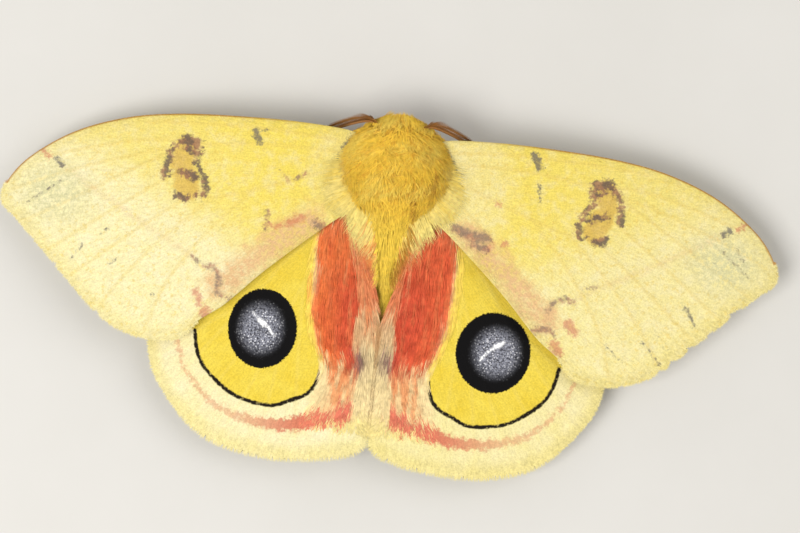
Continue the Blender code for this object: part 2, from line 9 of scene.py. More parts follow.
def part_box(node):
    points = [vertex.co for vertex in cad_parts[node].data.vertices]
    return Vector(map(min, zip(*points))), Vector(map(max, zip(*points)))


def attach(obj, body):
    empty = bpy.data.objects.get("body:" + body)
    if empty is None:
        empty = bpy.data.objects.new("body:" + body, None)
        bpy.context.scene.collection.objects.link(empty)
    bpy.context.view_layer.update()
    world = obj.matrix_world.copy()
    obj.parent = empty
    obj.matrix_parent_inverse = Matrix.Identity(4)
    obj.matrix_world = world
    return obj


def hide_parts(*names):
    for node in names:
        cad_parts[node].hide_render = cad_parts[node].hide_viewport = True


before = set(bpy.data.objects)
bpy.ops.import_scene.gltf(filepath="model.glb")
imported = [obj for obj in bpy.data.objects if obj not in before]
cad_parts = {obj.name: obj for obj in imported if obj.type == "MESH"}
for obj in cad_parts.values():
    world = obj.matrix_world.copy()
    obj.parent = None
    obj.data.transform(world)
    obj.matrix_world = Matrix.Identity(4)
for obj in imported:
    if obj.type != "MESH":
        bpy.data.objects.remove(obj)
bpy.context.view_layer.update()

# Camera
# The moth is looked at from straight above, with its wings spread flat
# and its body turned a few degrees from upright in the picture.
MM = 0.001
WING_LEVEL = 4.5
VIEW_CENTRE = (1.23, 2.29)
VIEW_WIDTH = 70.0
VIEW_TURN = 6.1
LENS = 100
SENSOR = 36


def set_camera():
    lens = bpy.data.cameras.new("camera")
    lens.lens = LENS
    lens.sensor_width = SENSOR
    lens.clip_start = 0.005
    camera = bpy.data.objects.new("camera", lens)
    bpy.context.scene.collection.objects.link(camera)
    height = VIEW_WIDTH * LENS / SENSOR + WING_LEVEL
    camera.location = Vector((*VIEW_CENTRE, height)) * MM
    camera.rotation_euler = (0, 0, math.radians(VIEW_TURN))
    bpy.context.scene.camera = camera


set_camera()


# Floor and light
# A plain pale table under a broad soft lamp from the front left, a weaker one
# from the right and a pale room, so that the shadows under the wings stay soft.
FLOOR_SIZE = 1.2
LAMPS = (
    ("key", (-0.15, -0.10, 0.31), 0.18, 0.92),
    ("fill", (0.34, 0.14, 0.40), 0.40, 0.99),
)
LAMP_COLOUR = (1.0, 0.985, 0.96)
ROOM_LIGHT = 0.5
ROOM_COLOUR = (1.0, 0.99, 0.97, 1)


def linear(red, green, blue):
    """A colour given as on a screen, from 0 to 255, as the shaders count it."""
    shares = (red / 255, green / 255, blue / 255)
    return tuple(((c + 0.055) / 1.055) ** 2.4 if c > 10 / 255 else c / 12.92 for c in shares)


def new_material(name, roughness):
    material = bpy.data.materials.new(name)
    material.use_nodes = True
    shader = material.node_tree.nodes["Principled BSDF"]
    shader.inputs["Roughness"].default_value = roughness
    return material, material.node_tree, shader


def feed(tree, socket, value):
    """Sets a socket, by a link if the value is another socket and as a plain value otherwise."""
    if isinstance(value, bpy.types.NodeSocket):
        tree.links.new(value, socket)
    elif isinstance(value, tuple) and len(value) == 3 and socket.type == "RGBA":
        socket.default_value = (*value, 1)
    else:
        socket.default_value = value


def noise(tree, where, scale, detail, rough=0.55):
    node = tree.nodes.new("ShaderNodeTexNoise")
    feed(tree, node.inputs["Vector"], where)
    feed(tree, node.inputs["Scale"], scale)
    feed(tree, node.inputs["Detail"], detail)
    feed(tree, node.inputs["Roughness"], rough)
    return node.outputs["Fac"]


def object_place(tree):
    return tree.nodes.new("ShaderNodeTexCoord").outputs["Object"]


def worked(tree, operation, a, b):
    node = tree.nodes.new("ShaderNodeMath")
    node.operation = operation
    feed(tree, node.inputs[0], a)
    feed(tree, node.inputs[1], b)
    return node.outputs[0]


def times(tree, a, b):
    return worked(tree, "MULTIPLY", a, b)


def plus(tree, a, b):
    return worked(tree, "ADD", a, b)


def ramp(tree, value, low, high, start=0.0, end=1.0):
    """Runs smoothly from start to end while the value goes from low to high."""
    node = tree.nodes.new("ShaderNodeMapRange")
    node.interpolation_type = "SMOOTHSTEP"
    settings = {"Value": value, "From Min": low, "From Max": high, "To Min": start, "To Max": end}
    for key, setting in settings.items():
        feed(tree, node.inputs[key], setting)
    return node.outputs[0]


def mixed(tree, share, a, b, way="MIX"):
    node = tree.nodes.new("ShaderNodeMix")
    node.data_type = "RGBA"
    node.blend_type = way
    feed(tree, node.inputs[0], share)
    feed(tree, node.inputs[6], a)
    feed(tree, node.inputs[7], b)
    return node.outputs[2]


def bumped(tree, shader, height, depth):
    node = tree.nodes.new("ShaderNodeBump")
    feed(tree, node.inputs["Height"], height)
    node.inputs["Distance"].default_value = depth
    tree.links.new(node.outputs[0], shader.inputs["Normal"])


def make_floor():
    bpy.ops.mesh.primitive_plane_add(size=FLOOR_SIZE)
    floor = bpy.context.object
    floor.name = "floor"
    material, tree, shader = new_material("pale_table", 0.9)
    mottle = noise(tree, object_place(tree), 60, 4)
    colour = mixed(tree, mottle, linear(205, 203, 198), linear(214, 212, 208))
    tree.links.new(colour, shader.inputs["Base Color"])
    floor.data.materials.append(material)


def make_light():
    for name, spot, size, power in LAMPS:
        lamp = bpy.data.lights.new(name, "AREA")
        lamp.size = size
        lamp.energy = power
        lamp.color = LAMP_COLOUR
        holder = bpy.data.objects.new(name, lamp)
        bpy.context.scene.collection.objects.link(holder)
        holder.location = spot
        holder.rotation_euler = (-Vector(spot)).to_track_quat("-Z", "Y").to_euler()
    world = bpy.data.worlds.new("room")
    bpy.context.scene.world = world
    world.use_nodes = True
    background = world.node_tree.nodes["Background"]
    background.inputs["Color"].default_value = ROOM_COLOUR
    background.inputs["Strength"].default_value = ROOM_LIGHT
    bpy.context.scene.view_settings.view_transform = "Standard"


make_floor()
make_light()


# Body skin
# One firm skin of horny plates covers head, thorax and abdomen. It is closed from
# the face to the tail, a hair's depth inside the coat, and shows only between hairs.
EYESPOT_LINE = 4.35
# Each row is Y, half width, top and bottom of the body, in millimetres.
BODY_FORM = (
    (0.10, 0.22, 2.90, 2.50), (0.60, 0.50, 3.20, 2.30), (1.60, 0.80, 3.65, 2.15),
    (3.00, 1.10, 4.20, 2.10), (4.50, 1.35, 4.70, 2.15), (6.00, 1.62, 5.25, 2.25),
    (7.50, 1.95, 5.85, 2.30), (9.00, 2.25, 6.40, 2.35), (10.20, 2.40, 6.85, 2.40),
    (11.30, 3.05, 7.50, 2.25), (12.40, 3.60, 8.10, 2.10), (13.70, 3.90, 8.45, 1.95),
    (15.00, 3.80, 8.40, 2.00), (16.10, 3.45, 8.10, 2.20), (17.20, 2.80, 7.40, 2.65),
    (18.00, 2.40, 6.85, 2.95), (18.60, 1.90, 6.30, 3.30), (19.05, 1.15, 5.70, 3.85),
    (19.25, 0.45, 5.15, 4.45), (19.30, 0.08, 4.85, 4.75),
)
# The coat's tips keep to a fuller form, one rounded dome from the wings' roots over the head.
HAIR_FORM = tuple(row for row in BODY_FORM if row[0] < 11.0) + (
    (11.30, 3.45, 7.55, 2.10), (12.40, 4.25, 8.20, 1.85), (13.70, 4.85, 8.55, 1.65),
    (15.00, 5.00, 8.55, 1.60), (16.10, 4.90, 8.35, 1.75), (17.20, 4.50, 7.95, 2.05),
    (17.80, 4.25, 7.60, 2.35), (18.20, 3.90, 7.30, 2.60), (18.70, 3.15, 6.90, 2.95),
    (19.10, 2.45, 6.50, 3.30), (19.50, 1.70, 6.05, 3.70), (19.85, 0.70, 5.60, 4.20),
)
SKIN_DEPTH = 0.12
SKIN_SIDES = 40
SKIN_STEP = 0.22
ABDOMEN_RING = 1.25


def placed(points):
    """Points in millimetres, Y counted from the line through the eyespots, in the part's frame."""
    return (np.asarray(points, float) - (0, EYESPOT_LINE, 0)) * MM


def add_piece(name, points, triangles, material):
    mesh = bpy.data.meshes.new(name)
    triangles = np.asarray(triangles, np.int32)
    mesh.vertices.add(len(points))
    mesh.vertices.foreach_set("co", placed(points).ravel())
    mesh.loops.add(triangles.size)
    mesh.loops.foreach_set("vertex_index", triangles.ravel())
    mesh.polygons.add(len(triangles))
    mesh.polygons.foreach_set("loop_start", np.arange(0, triangles.size, 3, dtype=np.int32))
    mesh.polygons.foreach_set("use_smooth", np.full(len(triangles), True))
    mesh.update()
    mesh.validate()
    mesh.materials.append(material)
    piece = bpy.data.objects.new(name, mesh)
    bpy.context.scene.collection.objects.link(piece)
    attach(piece, "root")
    return piece


def unit(vectors):
    return vectors / np.maximum(np.linalg.norm(vectors, axis=-1, keepdims=True), 1e-9)


def form_at(form, y):
    """Half width, top and bottom of a body form at Y."""
    rows = np.array(form)
    return [np.interp(y, rows[:, 0], rows[:, k]) for k in (1, 2, 3)]


def body_at(form, y, angle):
    """Points of a body form at Y and an angle from the top in degrees, and the ways out there."""
    wide, top, bottom = form_at(form, y)
    high = (top - bottom) / 2
    turn = np.radians(angle)
    level = (top + bottom) / 2 + high * np.cos(turn)
    skin = np.stack([wide * np.sin(turn), y + 0 * turn, level], -1)
    out = unit(np.stack([np.sin(turn) / wide, 0 * turn + 0 * y, np.cos(turn) / high], -1))
    return skin, out


def wavy(points, length, seed):
    """A smooth random number from about -1 to 1 at each point, changing over the given length."""
    ways = np.random.default_rng(seed).normal(size=(7, points.shape[-1]))
    ways = unit(ways) * np.linspace(0.7, 1.5, 7)[:, None] / length * 2 * math.pi
    shifts = np.random.default_rng(seed + 1).uniform(0, 2 * math.pi, 7)
    return np.sin(points @ ways.T + shifts).sum(-1) / 3.2


def ring_skin(rings):
    """Triangles that join rings of points into one closed skin, with a fan over each end."""
    count, sides = len(rings), len(rings[0])
    points = np.concatenate([*rings, rings[0].mean(0)[None], rings[-1].mean(0)[None]])
    triangles = []
    for ring in range(count - 1):
        for k in range(sides):
            a, b = ring * sides + k, ring * sides + (k + 1) % sides
            triangles += [(a, b, b + sides), (a, b + sides, a + sides)]
    first, last = count * sides, count * sides + 1
    for k in range(sides):
        triangles.append(((k + 1) % sides, k, first))
        triangles.append(((count - 1) * sides + k, (count - 1) * sides + (k + 1) % sides, last))
    return points, triangles


def put_numbers(piece, numbers):
    """Numbers, or colours, for each point of a piece, which its material reads by name."""
    for name, values in numbers.items():
        values = np.asarray(values, np.float32)
        if values.ndim == 1:
            piece.data.attributes.new(name, "FLOAT", "POINT").data.foreach_set("value", values)
        else:
            full = np.concatenate([values, np.ones((len(values), 1), np.float32)], 1)
            piece.data.attributes.new(name, "FLOAT_COLOR", "POINT").data.foreach_set("color",
            full.ravel())


def given(tree, name, colour=False):
    node = tree.nodes.new("ShaderNodeAttribute")
    node.attribute_name = name
    return node.outputs["Color" if colour else "Fac"]


def make_body_skin():
    rings = []
    angles = np.linspace(0, 360, SKIN_SIDES, endpoint=False)
    for y in np.arange(BODY_FORM[0][0], BODY_FORM[-1][0] + 0.01, SKIN_STEP):
        skin, out = body_at(BODY_FORM, np.full(SKIN_SIDES, y), angles)
        groove = 0.06 * (1 + math.cos(2 * math.pi * y / ABDOMEN_RING)) if y < 9.5 else 0
        rings.append(skin - out * min(SKIN_DEPTH + groove, 0.15))
    points, triangles = ring_skin(rings)
    material, tree, shader = new_material("body_skin", 0.6)
    where = object_place(tree)
    patches = times(tree, noise(tree, where, 500, 4), 0.5)
    colour = mixed(tree, patches, given(tree, "tint", True), linear(206, 146, 44))
    tree.links.new(colour, shader.inputs["Base Color"])
    bumped(tree, shader, noise(tree, where, 5000, 2), 0.00004)
    skin = add_piece("body_skin", points, triangles, material)
    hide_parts("head", "thorax", "abdomen")
    return skin, points


SKIN, SKIN_POINTS = make_body_skin()


# Eyes
# Each eye is a dark round compound eye, a ball of many small six-sided lenses
# set in the side of the head, clear of the hair of the face.
EYE_LENS = 0.00006


def eye_material():
    material, tree, shader = new_material("eye_lenses", 0.18)
    where = object_place(tree)
    cells = tree.nodes.new("ShaderNodeTexVoronoi")
    cells.feature = "DISTANCE_TO_EDGE"
    feed(tree, cells.inputs["Vector"], where)
    feed(tree, cells.inputs["Scale"], 1 / EYE_LENS)
    dome = ramp(tree, cells.outputs[0], 0.0, 0.35)
    cloud = noise(tree, where, 900, 2)
    colour = mixed(tree, cloud, linear(30, 18, 12), linear(74, 44, 22))
    colour = mixed(tree, dome, linear(16, 10, 8), colour)
    tree.links.new(colour, shader.inputs["Base Color"])
    shader.inputs["Coat Weight"].default_value = 0.5
    bumped(tree, shader, dome, 0.000006)
    return material


def make_eyes():
    material = eye_material()
    for word in ("left", "right"):
        low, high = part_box(f"eye_{word}")
        bpy.ops.mesh.primitive_ico_sphere_add(subdivisions=5, radius=(high.z - low.z) / 2,
        location=(low + high) / 2)
        eye = bpy.context.object
        eye.name = f"eye_ball_{word}"
        bpy.ops.object.transform_apply(location=True)
        eye.data.shade_smooth()
        eye.data.materials.append(material)
        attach(eye, "root")
        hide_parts(f"eye_{word}")


make_eyes()


# Feelers
# Each feeler is a bent horny stem with two pairs of fine branches on every joint,
# which stand up and down from it like the barbs of a feather.
FEELER_KEYS = (
    (1.4, 18.4, 5.7), (2.0, 18.65, 6.0), (2.9, 18.95, 5.6), (4.7, 18.45, 4.6), (6.8, 17.5, 3.8),
    (9.0, 16.4, 3.3),
)
FEELER_JOINTS = 44
FEELER_BRANCH = 1.7
BRANCH_SLANT = 32
# A tuft, branch or claw is three-sided and tapers to a point: its width at each ring.
TUFT_RINGS = (0.8, 1.0, 0.62)
SIDES = ((1, "right"), (-1, "left"))
FEELER_FROM = 0.16


def smooth_path(keys, steps):
    """A smooth curve through the key points."""
    keys = np.array(keys, float)
    padded = np.concatenate([2 * keys[:1] - keys[1:2], keys, 2 * keys[-1:] - keys[-2:-1]])
    path = []
    for a, b, c, d in zip(padded, padded[1:], padded[2:], padded[3:]):
        for t in np.arange(steps) / steps:
            bend = (2 * a - 5 * b + 4 * c - d) * t**2 + (3 * b - a - 3 * c + d) * t**3
            path.append((2 * b + (c - a) * t + bend) / 2)
    return np.array([*path, keys[-1]])


def path_frames(path):
    """Along, across and over directions at each point of a path, with no twist about it."""
    along = unit(np.gradient(path, axis=0))
    over = np.array([0.0, 0.0, 1.0])
    across = []
    for ahead in along[::-1]:
        over = unit(over - ahead * (over @ ahead))
        across.append(np.cross(ahead, over))
    across = np.array(across[::-1])
    return along, across, np.cross(across, along)


def on_tube(path, radii, share, angle):
    """Points on a tube at shares of its length and angles round it, and the ways out and along."""
    along, across, over = path_frames(path)
    at = np.linspace(0, 1, len(path))

    def taken(rows):
        return np.stack([np.interp(share, at, rows[:, k]) for k in range(3)], -1)

    turn = np.radians(angle)[:, None]
    out = unit(taken(across) * np.sin(turn) + taken(over) * np.cos(turn))
    return taken(path) + out * np.interp(share, at, radii)[:, None], out, unit(taken(along))


def tube(path, radii, sides):
    angles = np.linspace(0, 360, sides, endpoint=False)
    shares = np.linspace(0, 1, len(path))
    rings = [on_tube(path, radii, np.full(sides, share), -angles)[0] for share in shares]
    return ring_skin(rings)


def tufts(spine, over, wide, ridge=0.8):
    """Many solid tufts in one mesh, from each ring's centres and the tips. Over points out."""
    rings, count = len(spine) - 1, spine.shape[1]
    corners = np.empty((count, rings * 3 + 1, 3))
    for ring in range(rings):
        across = unit(np.cross(spine[ring + 1] - spine[ring], over))
        half = (wide * TUFT_RINGS[ring] / 2)[:, None]
        corners[:, ring * 3] = spine[ring] - across * half
        corners[:, ring * 3 + 1] = spine[ring] + across * half
        corners[:, ring * 3 + 2] = spine[ring] + over * half * ridge
    corners[:, -1] = spine[-1]
    pattern = [(0, 1, 2)]
    for ring in range(rings - 1):
        for k in range(3):
            a, b = ring * 3 + k, ring * 3 + (k + 1) % 3
            pattern += [(b, a, a + 3), (b, a + 3, b + 3)]
    last = (rings - 1) * 3
    pattern += [(last + (k + 1) % 3, last + k, rings * 3) for k in range(3)]
    triangles = np.array(pattern)[None] + (np.arange(count) * (rings * 3 + 1))[:, None, None]
    return corners.reshape(-1, 3), triangles.reshape(-1, 3)


def softened(piece, ways, share):
    """Hair is lit mostly as the surface it lies on, since light comes through it and round it."""
    mesh = piece.data
    own = np.empty(len(mesh.vertices) * 3, np.float32)
    mesh.vertex_normals.foreach_get("vector", own)
    ways = unit(own.reshape(-1, 3) * (1 - share) + ways * share)
    mesh.normals_split_custom_set_from_vertices(ways.tolist())


def joined(*meshes):
    """Several lots of points and triangles as one."""
    points, triangles, start = [], [], 0
    for some, faces in meshes:
        points.append(some)
        triangles.append(np.asarray(faces) + start)
        start += len(some)
    return np.concatenate(points), np.concatenate(triangles)


def mirrored(points, side):
    return points * (side, 1, 1)


def turned(triangles, side):
    """Triangles facing outwards on the given side of the body."""
    triangles = np.asarray(triangles)
    return triangles if side > 0 else triangles[:, ::-1]


def feeler_shape():
    path = smooth_path(FEELER_KEYS, 8)
    radii = np.interp(np.linspace(0, 1, len(path)), (0, 0.1, 0.7, 1), (0.2, 0.15, 0.11, 0.06))
    share = np.repeat(np.linspace(FEELER_FROM, 0.985, FEELER_JOINTS), 4)
    way = np.tile((1, 1, -1, -1), FEELER_JOINTS)
    second = np.tile((0, 1, 0, 1), FEELER_JOINTS)
    root, _, ahead = on_tube(path, radii * 0.3, share, np.zeros(len(share)))
    front = unit(np.array([0.0, 1.0, 0.0]) - ahead * ahead[:, 1:2])
    over = np.cross(ahead, front)
    over *= np.sign(over[:, 2:3])
    out = unit(front * 0.55 + over * 0.85 * way[:, None])
    slant = math.radians(BRANCH_SLANT)
    length = np.sin(math.pi * np.interp(share, (FEELER_FROM, 1), (0.2, 0.93)))
    length = FEELER_BRANCH * length * (1 - 0.12 * second)
    root = root + ahead * (second * 0.07)[:, None]
    spine = []
    for step in (0, 0.4, 0.75, 1.0):
        lean = slant + 0.35 * step
        run = out * math.cos(lean) + ahead * math.sin(lean) - front * 0.12 * step
        spine.append(root + run * (length * step)[:, None])
    branches = tufts(np.array(spine), unit(np.cross(out, ahead)), np.full(len(share), 0.075))
    return joined(tube(path, radii, 10), branches)


def make_feelers():
    material, tree, shader = new_material("feeler_horn", 0.55)
    where = object_place(tree)
    # Partly painted shade: the feelers are painted a darker brown than their own ochre, for the
    # shade they lie in under the wings.
    colour = mixed(tree, noise(tree, where, 1200, 3), linear(120, 74, 30), linear(190, 132, 60))
    tree.links.new(colour, shader.inputs["Base Color"])
    bumped(tree, shader, noise(tree, where, 9000, 2), 0.00001)
    points, triangles = feeler_shape()
    for side, word in SIDES:
        feeler = add_piece(f"feeler_{word}", mirrored(points, side), turned(triangles, side),
        material)
        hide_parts(f"antenna_{word}")


make_feelers()


# Legs
# Six jointed legs of horny tube, thick with hair down to the knee and shin, end in a
# thin five-jointed foot that lies on the table, with two small claws.
LEGS = {
    "front": ((16.2, 142), (4.3, 15.7, 2.9), (6.0, 16.6, 0.95), (6.6, 16.8, 0.19),
    (8.2, 16.7, 0.17)),
    "middle": ((14.0, 142), (5.2, 13.4, 2.9), (7.6, 12.8, 0.95), (8.3, 12.6, 0.19),
    (10.0, 12.1, 0.17)),
    "hind": ((12.0, 142), (4.7, 9.6, 2.8), (6.8, 5.6, 0.95), (7.1, 4.9, 0.19), (7.6, 2.9, 0.17)),
}
LEG_STEPS = 9
LEG_HAIRS = 850
FOOT_FROM = 0.7
CLAW = 0.32
LOWEST_HAIR = 0.08
# A hair has two rings of three corners and a point.
HAIR_CORNERS = 7
# How wide each tuft's patch is on the baking map, which is 1 wide.
PATCH = 0.003


def upward(count):
    return np.tile((0.0, 0.0, 1.0), (count, 1))


def leg_line(name):
    (y, angle), knee, ankle, heel, toe = LEGS[name]
    skin, out = body_at(BODY_FORM, np.array(y), np.array(float(angle)))
    path = smooth_path((skin - out * 0.25, skin + out * 0.9, knee, ankle, heel, toe), LEG_STEPS)
    path[:, 2] = np.maximum(path[:, 2], leg_radii(np.linspace(0, 1, len(path))) + 0.01)
    return path


def leg_radii(share):
    radii = np.interp(share, (0, 0.2, 0.4, 0.5, 0.62, 0.72, 0.8, 1),
    (0.5, 0.48, 0.36, 0.3, 0.26, 0.2, 0.17, 0.15))
    joints = np.cos((share - FOOT_FROM) / (1 - FOOT_FROM) * 2 * math.pi * 5)
    return radii - np.where(share > FOOT_FROM + 0.05, 0.018 * (1 + joints), 0)


def claws(toe, along):
    """Two small hooks that spread from the toe and bend down to the ground."""
    across = unit(np.cross(along, (0, 0, 1)))
    ways = (along * 0.9 + across * 0.5, along * 0.9 - across * 0.5)
    spine = []
    for step, drop in ((0, 0.0), (0.45, 0.01), (0.8, 0.05), (1, 0.11)):
        spine.append([toe + way * CLAW * step - (0, 0, drop) for way in ways])
    return tufts(np.array(spine), upward(2), np.array([0.1, 0.1]))


def tube_hair(path, radii, count, seed):
    """Hair roots on a leg and the spines of its tufts, long on the thigh and short on the foot."""
    rng = np.random.default_rng(seed)
    share = rng.uniform(0.03, 0.97, count) ** 0.85
    angle = rng.uniform(0, 360, count)
    root, out, along = on_tube(path, radii, share, angle)
    length = np.interp(share, (0, 0.2, 0.55, 0.7, 1), (0.9, 1.0, 0.75, 0.3, 0.22))
    length *= rng.uniform(0.75, 1.2, count)
    stand = np.interp(share, (0, 0.5, 0.7, 1), (0.35, 0.3, 0.14, 0.1))
    stand *= rng.uniform(0.6, 1.3, count)
    spine = []
    for step in (0, 0.5, 1):
        lift = (stand * step - 0.05)[:, None]
        at = root + out * lift + along * (length * step)[:, None]
        at[:, 2] = np.maximum(at[:, 2], LOWEST_HAIR)
        spine.append(at)
    return np.array(spine), out, share, angle, rng.uniform(0.07, 0.12, count)


def put_bake_map(piece, roots, count):
    """The baking map: each tuft is a small patch at its root's place on the unwrapped skin."""
    mesh = piece.data
    corner = np.arange(len(mesh.vertices)) % count
    tuft = np.arange(len(mesh.vertices)) // count
    patch = np.stack([(corner % 3) / 2, (corner // 3) * 3 / count], -1) * PATCH
    at = roots[tuft] * 0.99 + patch
    loops = np.empty(len(mesh.loops), np.int32)
    mesh.loops.foreach_get("vertex_index", loops)
    mesh.uv_layers.new(name="OFBake").data.foreach_set("uv", at[loops].ravel().astype(np.float32))


def hair_material(name):
    """Hair takes its colour from its place, with painted shade that makes it darker at the root,
    and uneven from hair to hair.
    """
    material, tree, shader = new_material(name, 0.65)
    where = object_place(tree)
    colour = given(tree, "tint", True)
    shade = ramp(tree, noise(tree, where, 2600, 2), 0.3, 0.7, 0.9, 1.08)
    shade = times(tree, shade, given(tree, "shade"))
    grey = tree.nodes.new("ShaderNodeCombineColor")
    for socket in grey.inputs:
        tree.links.new(shade, socket)
    colour = mixed(tree, 1.0, colour, grey.outputs[0], "MULTIPLY")
    tree.links.new(colour, shader.inputs["Base Color"])
    shader.inputs["Sheen Weight"].default_value = 0.15
    shader.inputs["Sheen Roughness"].default_value = 0.5
    shader.inputs["Specular IOR Level"].default_value = 0.15
    return material


def make_legs():
    horn, tree, shader = new_material("leg_horn", 0.5)
    where = object_place(tree)
    colour = mixed(tree, noise(tree, where, 900, 3), linear(120, 62, 30), linear(176, 104, 52))
    tree.links.new(colour, shader.inputs["Base Color"])
    bumped(tree, shader, noise(tree, where, 7000, 2), 0.00001)
    fluff = hair_material("leg_hair")
    rust, straw = np.array(linear(196, 112, 60)), np.array(linear(226, 176, 92))
    for row, name in enumerate(LEGS):
        path = leg_line(name)
        radii = leg_radii(np.linspace(0, 1, len(path)))
        shape = joined(tube(path, radii, 14), claws(path[-1], unit(path[-1] - path[-2])))
        for side, word in SIDES:
            leg = add_piece(f"leg_{name}_{word}.horn", mirrored(shape[0], side),
            turned(shape[1], side), horn)
            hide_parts(f"leg_{name}_{word}")
            spine, out, share, angle, wide = tube_hair(path, radii, LEG_HAIRS,
            40 + 2 * row + (side < 0))
            points, triangles = tufts(spine, out, wide)
            hair = add_piece(f"leg_{name}_{word}.hair", mirrored(points, side),
            turned(triangles, side), fluff)
            mix = (0.5 + 0.5 * wavy(spine[0], 1.2, 5))[:, None]
            tint = rust * (1 - mix) + straw * mix
            # Painted shade: each leg hair is darker at its root and lighter at its tip.
            shade = np.tile((0.75, 0.75, 0.75, 1, 1, 1, 1.15), len(share))
            put_numbers(hair, {"tint": np.repeat(tint, HAIR_CORNERS, 0), "shade": shade})
            put_bake_map(hair, np.stack([angle / 360, share], -1), HAIR_CORNERS)


make_legs()


# Wings
# Each wing is a thin stiff membrane on raised tubular veins, covered on both sides
# in fine hair-like scales that carry the markings, with a fringe along its margin.
FOREWING_KEYS = (
    (3.4, 17.3), (4.3, 17.95), (9.0, 18.25), (14.1, 18.2), (19.4, 17.9), (24.0, 17.1), (28.5, 15.4),
    (32.2, 12.8), (34.0, 10.4), (34.25, 8.7), (32.8, 7.35), (29.8, 4.5), (27.4, 2.2), (24.6, -0.4),
    (22.0, -1.65), (19.6, -1.95), (17.2, -1.5), (15.9, 0.0), (13.7, 1.7), (11.0, 4.5), (9.2, 6.2),
    (6.5, 8.6), (4.6, 10.2), (2.6, 11.6),
)
FOREWING_VEINS = (
    ((4.6, 16.9), (11.0, 17.35), (17.5, 17.2), (22.0, 16.9)),
    ((4.6, 16.0), (11.0, 16.0), (16.0, 15.5), (19.2, 14.9), (24.5, 13.4), (29.6, 11.5),
    (33.4, 9.8)),
    ((16.0, 15.5), (21.5, 15.4), (26.0, 14.4), (30.3, 13.1)),
    ((19.2, 14.9), (24.0, 12.0), (28.7, 9.1), (32.0, 7.2)),
    ((18.6, 13.0), (23.0, 9.9), (27.0, 6.9), (29.6, 4.9)),
    ((17.2, 11.2), (21.3, 8.0), (25.0, 4.9), (27.4, 2.9)),
    ((15.6, 10.9), (19.4, 7.2), (22.6, 3.4), (24.6, 0.5)),
    ((12.2, 11.9), (15.8, 7.8), (18.9, 3.2), (20.5, -1.3)),
    ((4.6, 14.8), (8.6, 13.2), (12.2, 11.9), (15.6, 10.9), (17.2, 11.2)),
    ((19.2, 14.9), (18.6, 13.0), (17.2, 11.2)),
    ((4.6, 13.6), (8.0, 10.5), (12.4, 5.9), (16.4, -0.2)),
)
HINDWING_KEYS = (
    (3.6, 12.4), (6.6, 11.2), (10.5, 9.0), (15.0, 5.6), (18.6, 2.2), (20.1, -1.0), (19.9, -3.6),
    (18.9, -5.7), (16.9, -8.1), (14.4, -9.8), (11.2, -10.8), (8.0, -11.05), (4.8, -10.8),
    (2.0, -10.2), (0.5, -9.4), (0.15, -8.3),
)
HINDWING_VEINS = (
    ((4.6, 10.7), (10.0, 7.9), (15.0, 3.9), (19.5, -1.4)),
    ((4.6, 10.2), (8.4, 6.6), (11.4, 2.6), (15.4, -0.4), (19.2, -3.5)),
    ((11.4, 2.6), (14.6, -1.6), (17.9, -6.0)),
    ((10.4, 0.4), (12.8, -3.8), (15.8, -8.4)),
    ((8.7, 0.0), (10.6, -4.8), (13.0, -9.8)),
    ((8.1, 1.4), (8.8, -4.6), (9.8, -10.6)),
    ((7.0, 4.4), (6.8, -3.0), (6.3, -10.6)),
    ((4.6, 9.7), (7.0, 4.4), (8.1, 1.4), (8.7, 0.0)),
    ((3.9, 9.3), (4.2, 3.0), (3.9, -4.0), (3.0, -10.1)),
)
WING_GRID = 0.26
WING_THICK = 0.2
SCALE_RIDGE = 0.3
# A wing scale has one ring of three corners and a point.
SCALE_CORNERS = 4
RIM_THICK = 0.07
VEIN_RISE = 0.07
VEIN_HALF_WIDTH = 0.24
WING_FUR = 25
UNDER_SHARE = 0.35
FUR_LENGTH = (0.4, 0.75)
FUR_WIDTH = (0.10, 0.17)
FUR_RISE = 0.035
FRINGE_STEP, FRINGE_SHARE = {1: 0.02, -1: 0.05}, {1: 1, -1: 0.65}
FAR = 3.0
WING_ROOT = 4.5
# How many millimetres of a wing its baking map spans from side to side.
WING_MAP = 40
FOREWING_HINGE = (2.0, 14.5)
HINDWING_HINGE = (2.5, 12.0)


def forewing_height(x, y):
    reach = x - WING_ROOT
    middle = 14 - 6 * np.minimum(reach / 15.5, 1)
    arch = 0.45 * np.sin(math.pi * np.clip(reach / 30, 0, 1))
    return 6.0 - 0.095 * reach + arch - 0.008 * (y - middle) ** 2


def hindwing_edge(y):
    """Where the hindwing's inner margin runs: beside the abdomen, then along the middle line."""
    return np.maximum(0.12, np.where(y < 9, 0.12 + 0.285 * (y - 1.0), 2.4 + 0.3 * (y - 9)))


def hindwing_height(x, y):
    base = 4.7 - 0.07 * (x - WING_ROOT) - 0.06 * (10.5 - y)
    rise = 1.15 * np.exp(-(((y - 7.0) / 3.2) ** 2))
    return base + rise * np.exp(-(((x - hindwing_edge(y)) / 1.7) ** 2))


def evenly(path, step):
    """The path again with its points the same step apart."""
    walked = np.concatenate([[0], np.cumsum(np.linalg.norm(np.diff(path, axis=0), axis=1))])
    at = np.linspace(0, walked[-1], max(2, round(walked[-1] / step) + 1))
    return np.stack([np.interp(at, walked, path[:, k]) for k in range(path.shape[1])], -1)


def away(spots, path):
    """Distance of each flat spot from a path."""
    path = np.asarray(path, float)
    best = np.full(len(spots), 1e9)
    for a, b in zip(path, path[1:]):
        run = b - a
        share = np.clip((spots - a) @ run / max(run @ run, 1e-12), 0, 1)
        best = np.minimum(best, np.linalg.norm(spots - a - share[:, None] * run, axis=1))
    return best


def within(spots, outline):
    odd = np.zeros(len(spots), bool)
    for (x1, y1), (x2, y2) in zip(outline, np.roll(outline, -1, 0)):
        if y1 != y2:
            crosses = (y1 > spots[:, 1]) != (y2 > spots[:, 1])
            odd ^= crosses & (spots[:, 0] < x1 + (spots[:, 1] - y1) * (x2 - x1) / (y2 - y1))
    return odd


def forewing_outline():
    return evenly(smooth_path(FOREWING_KEYS, 8), WING_GRID * 0.6)


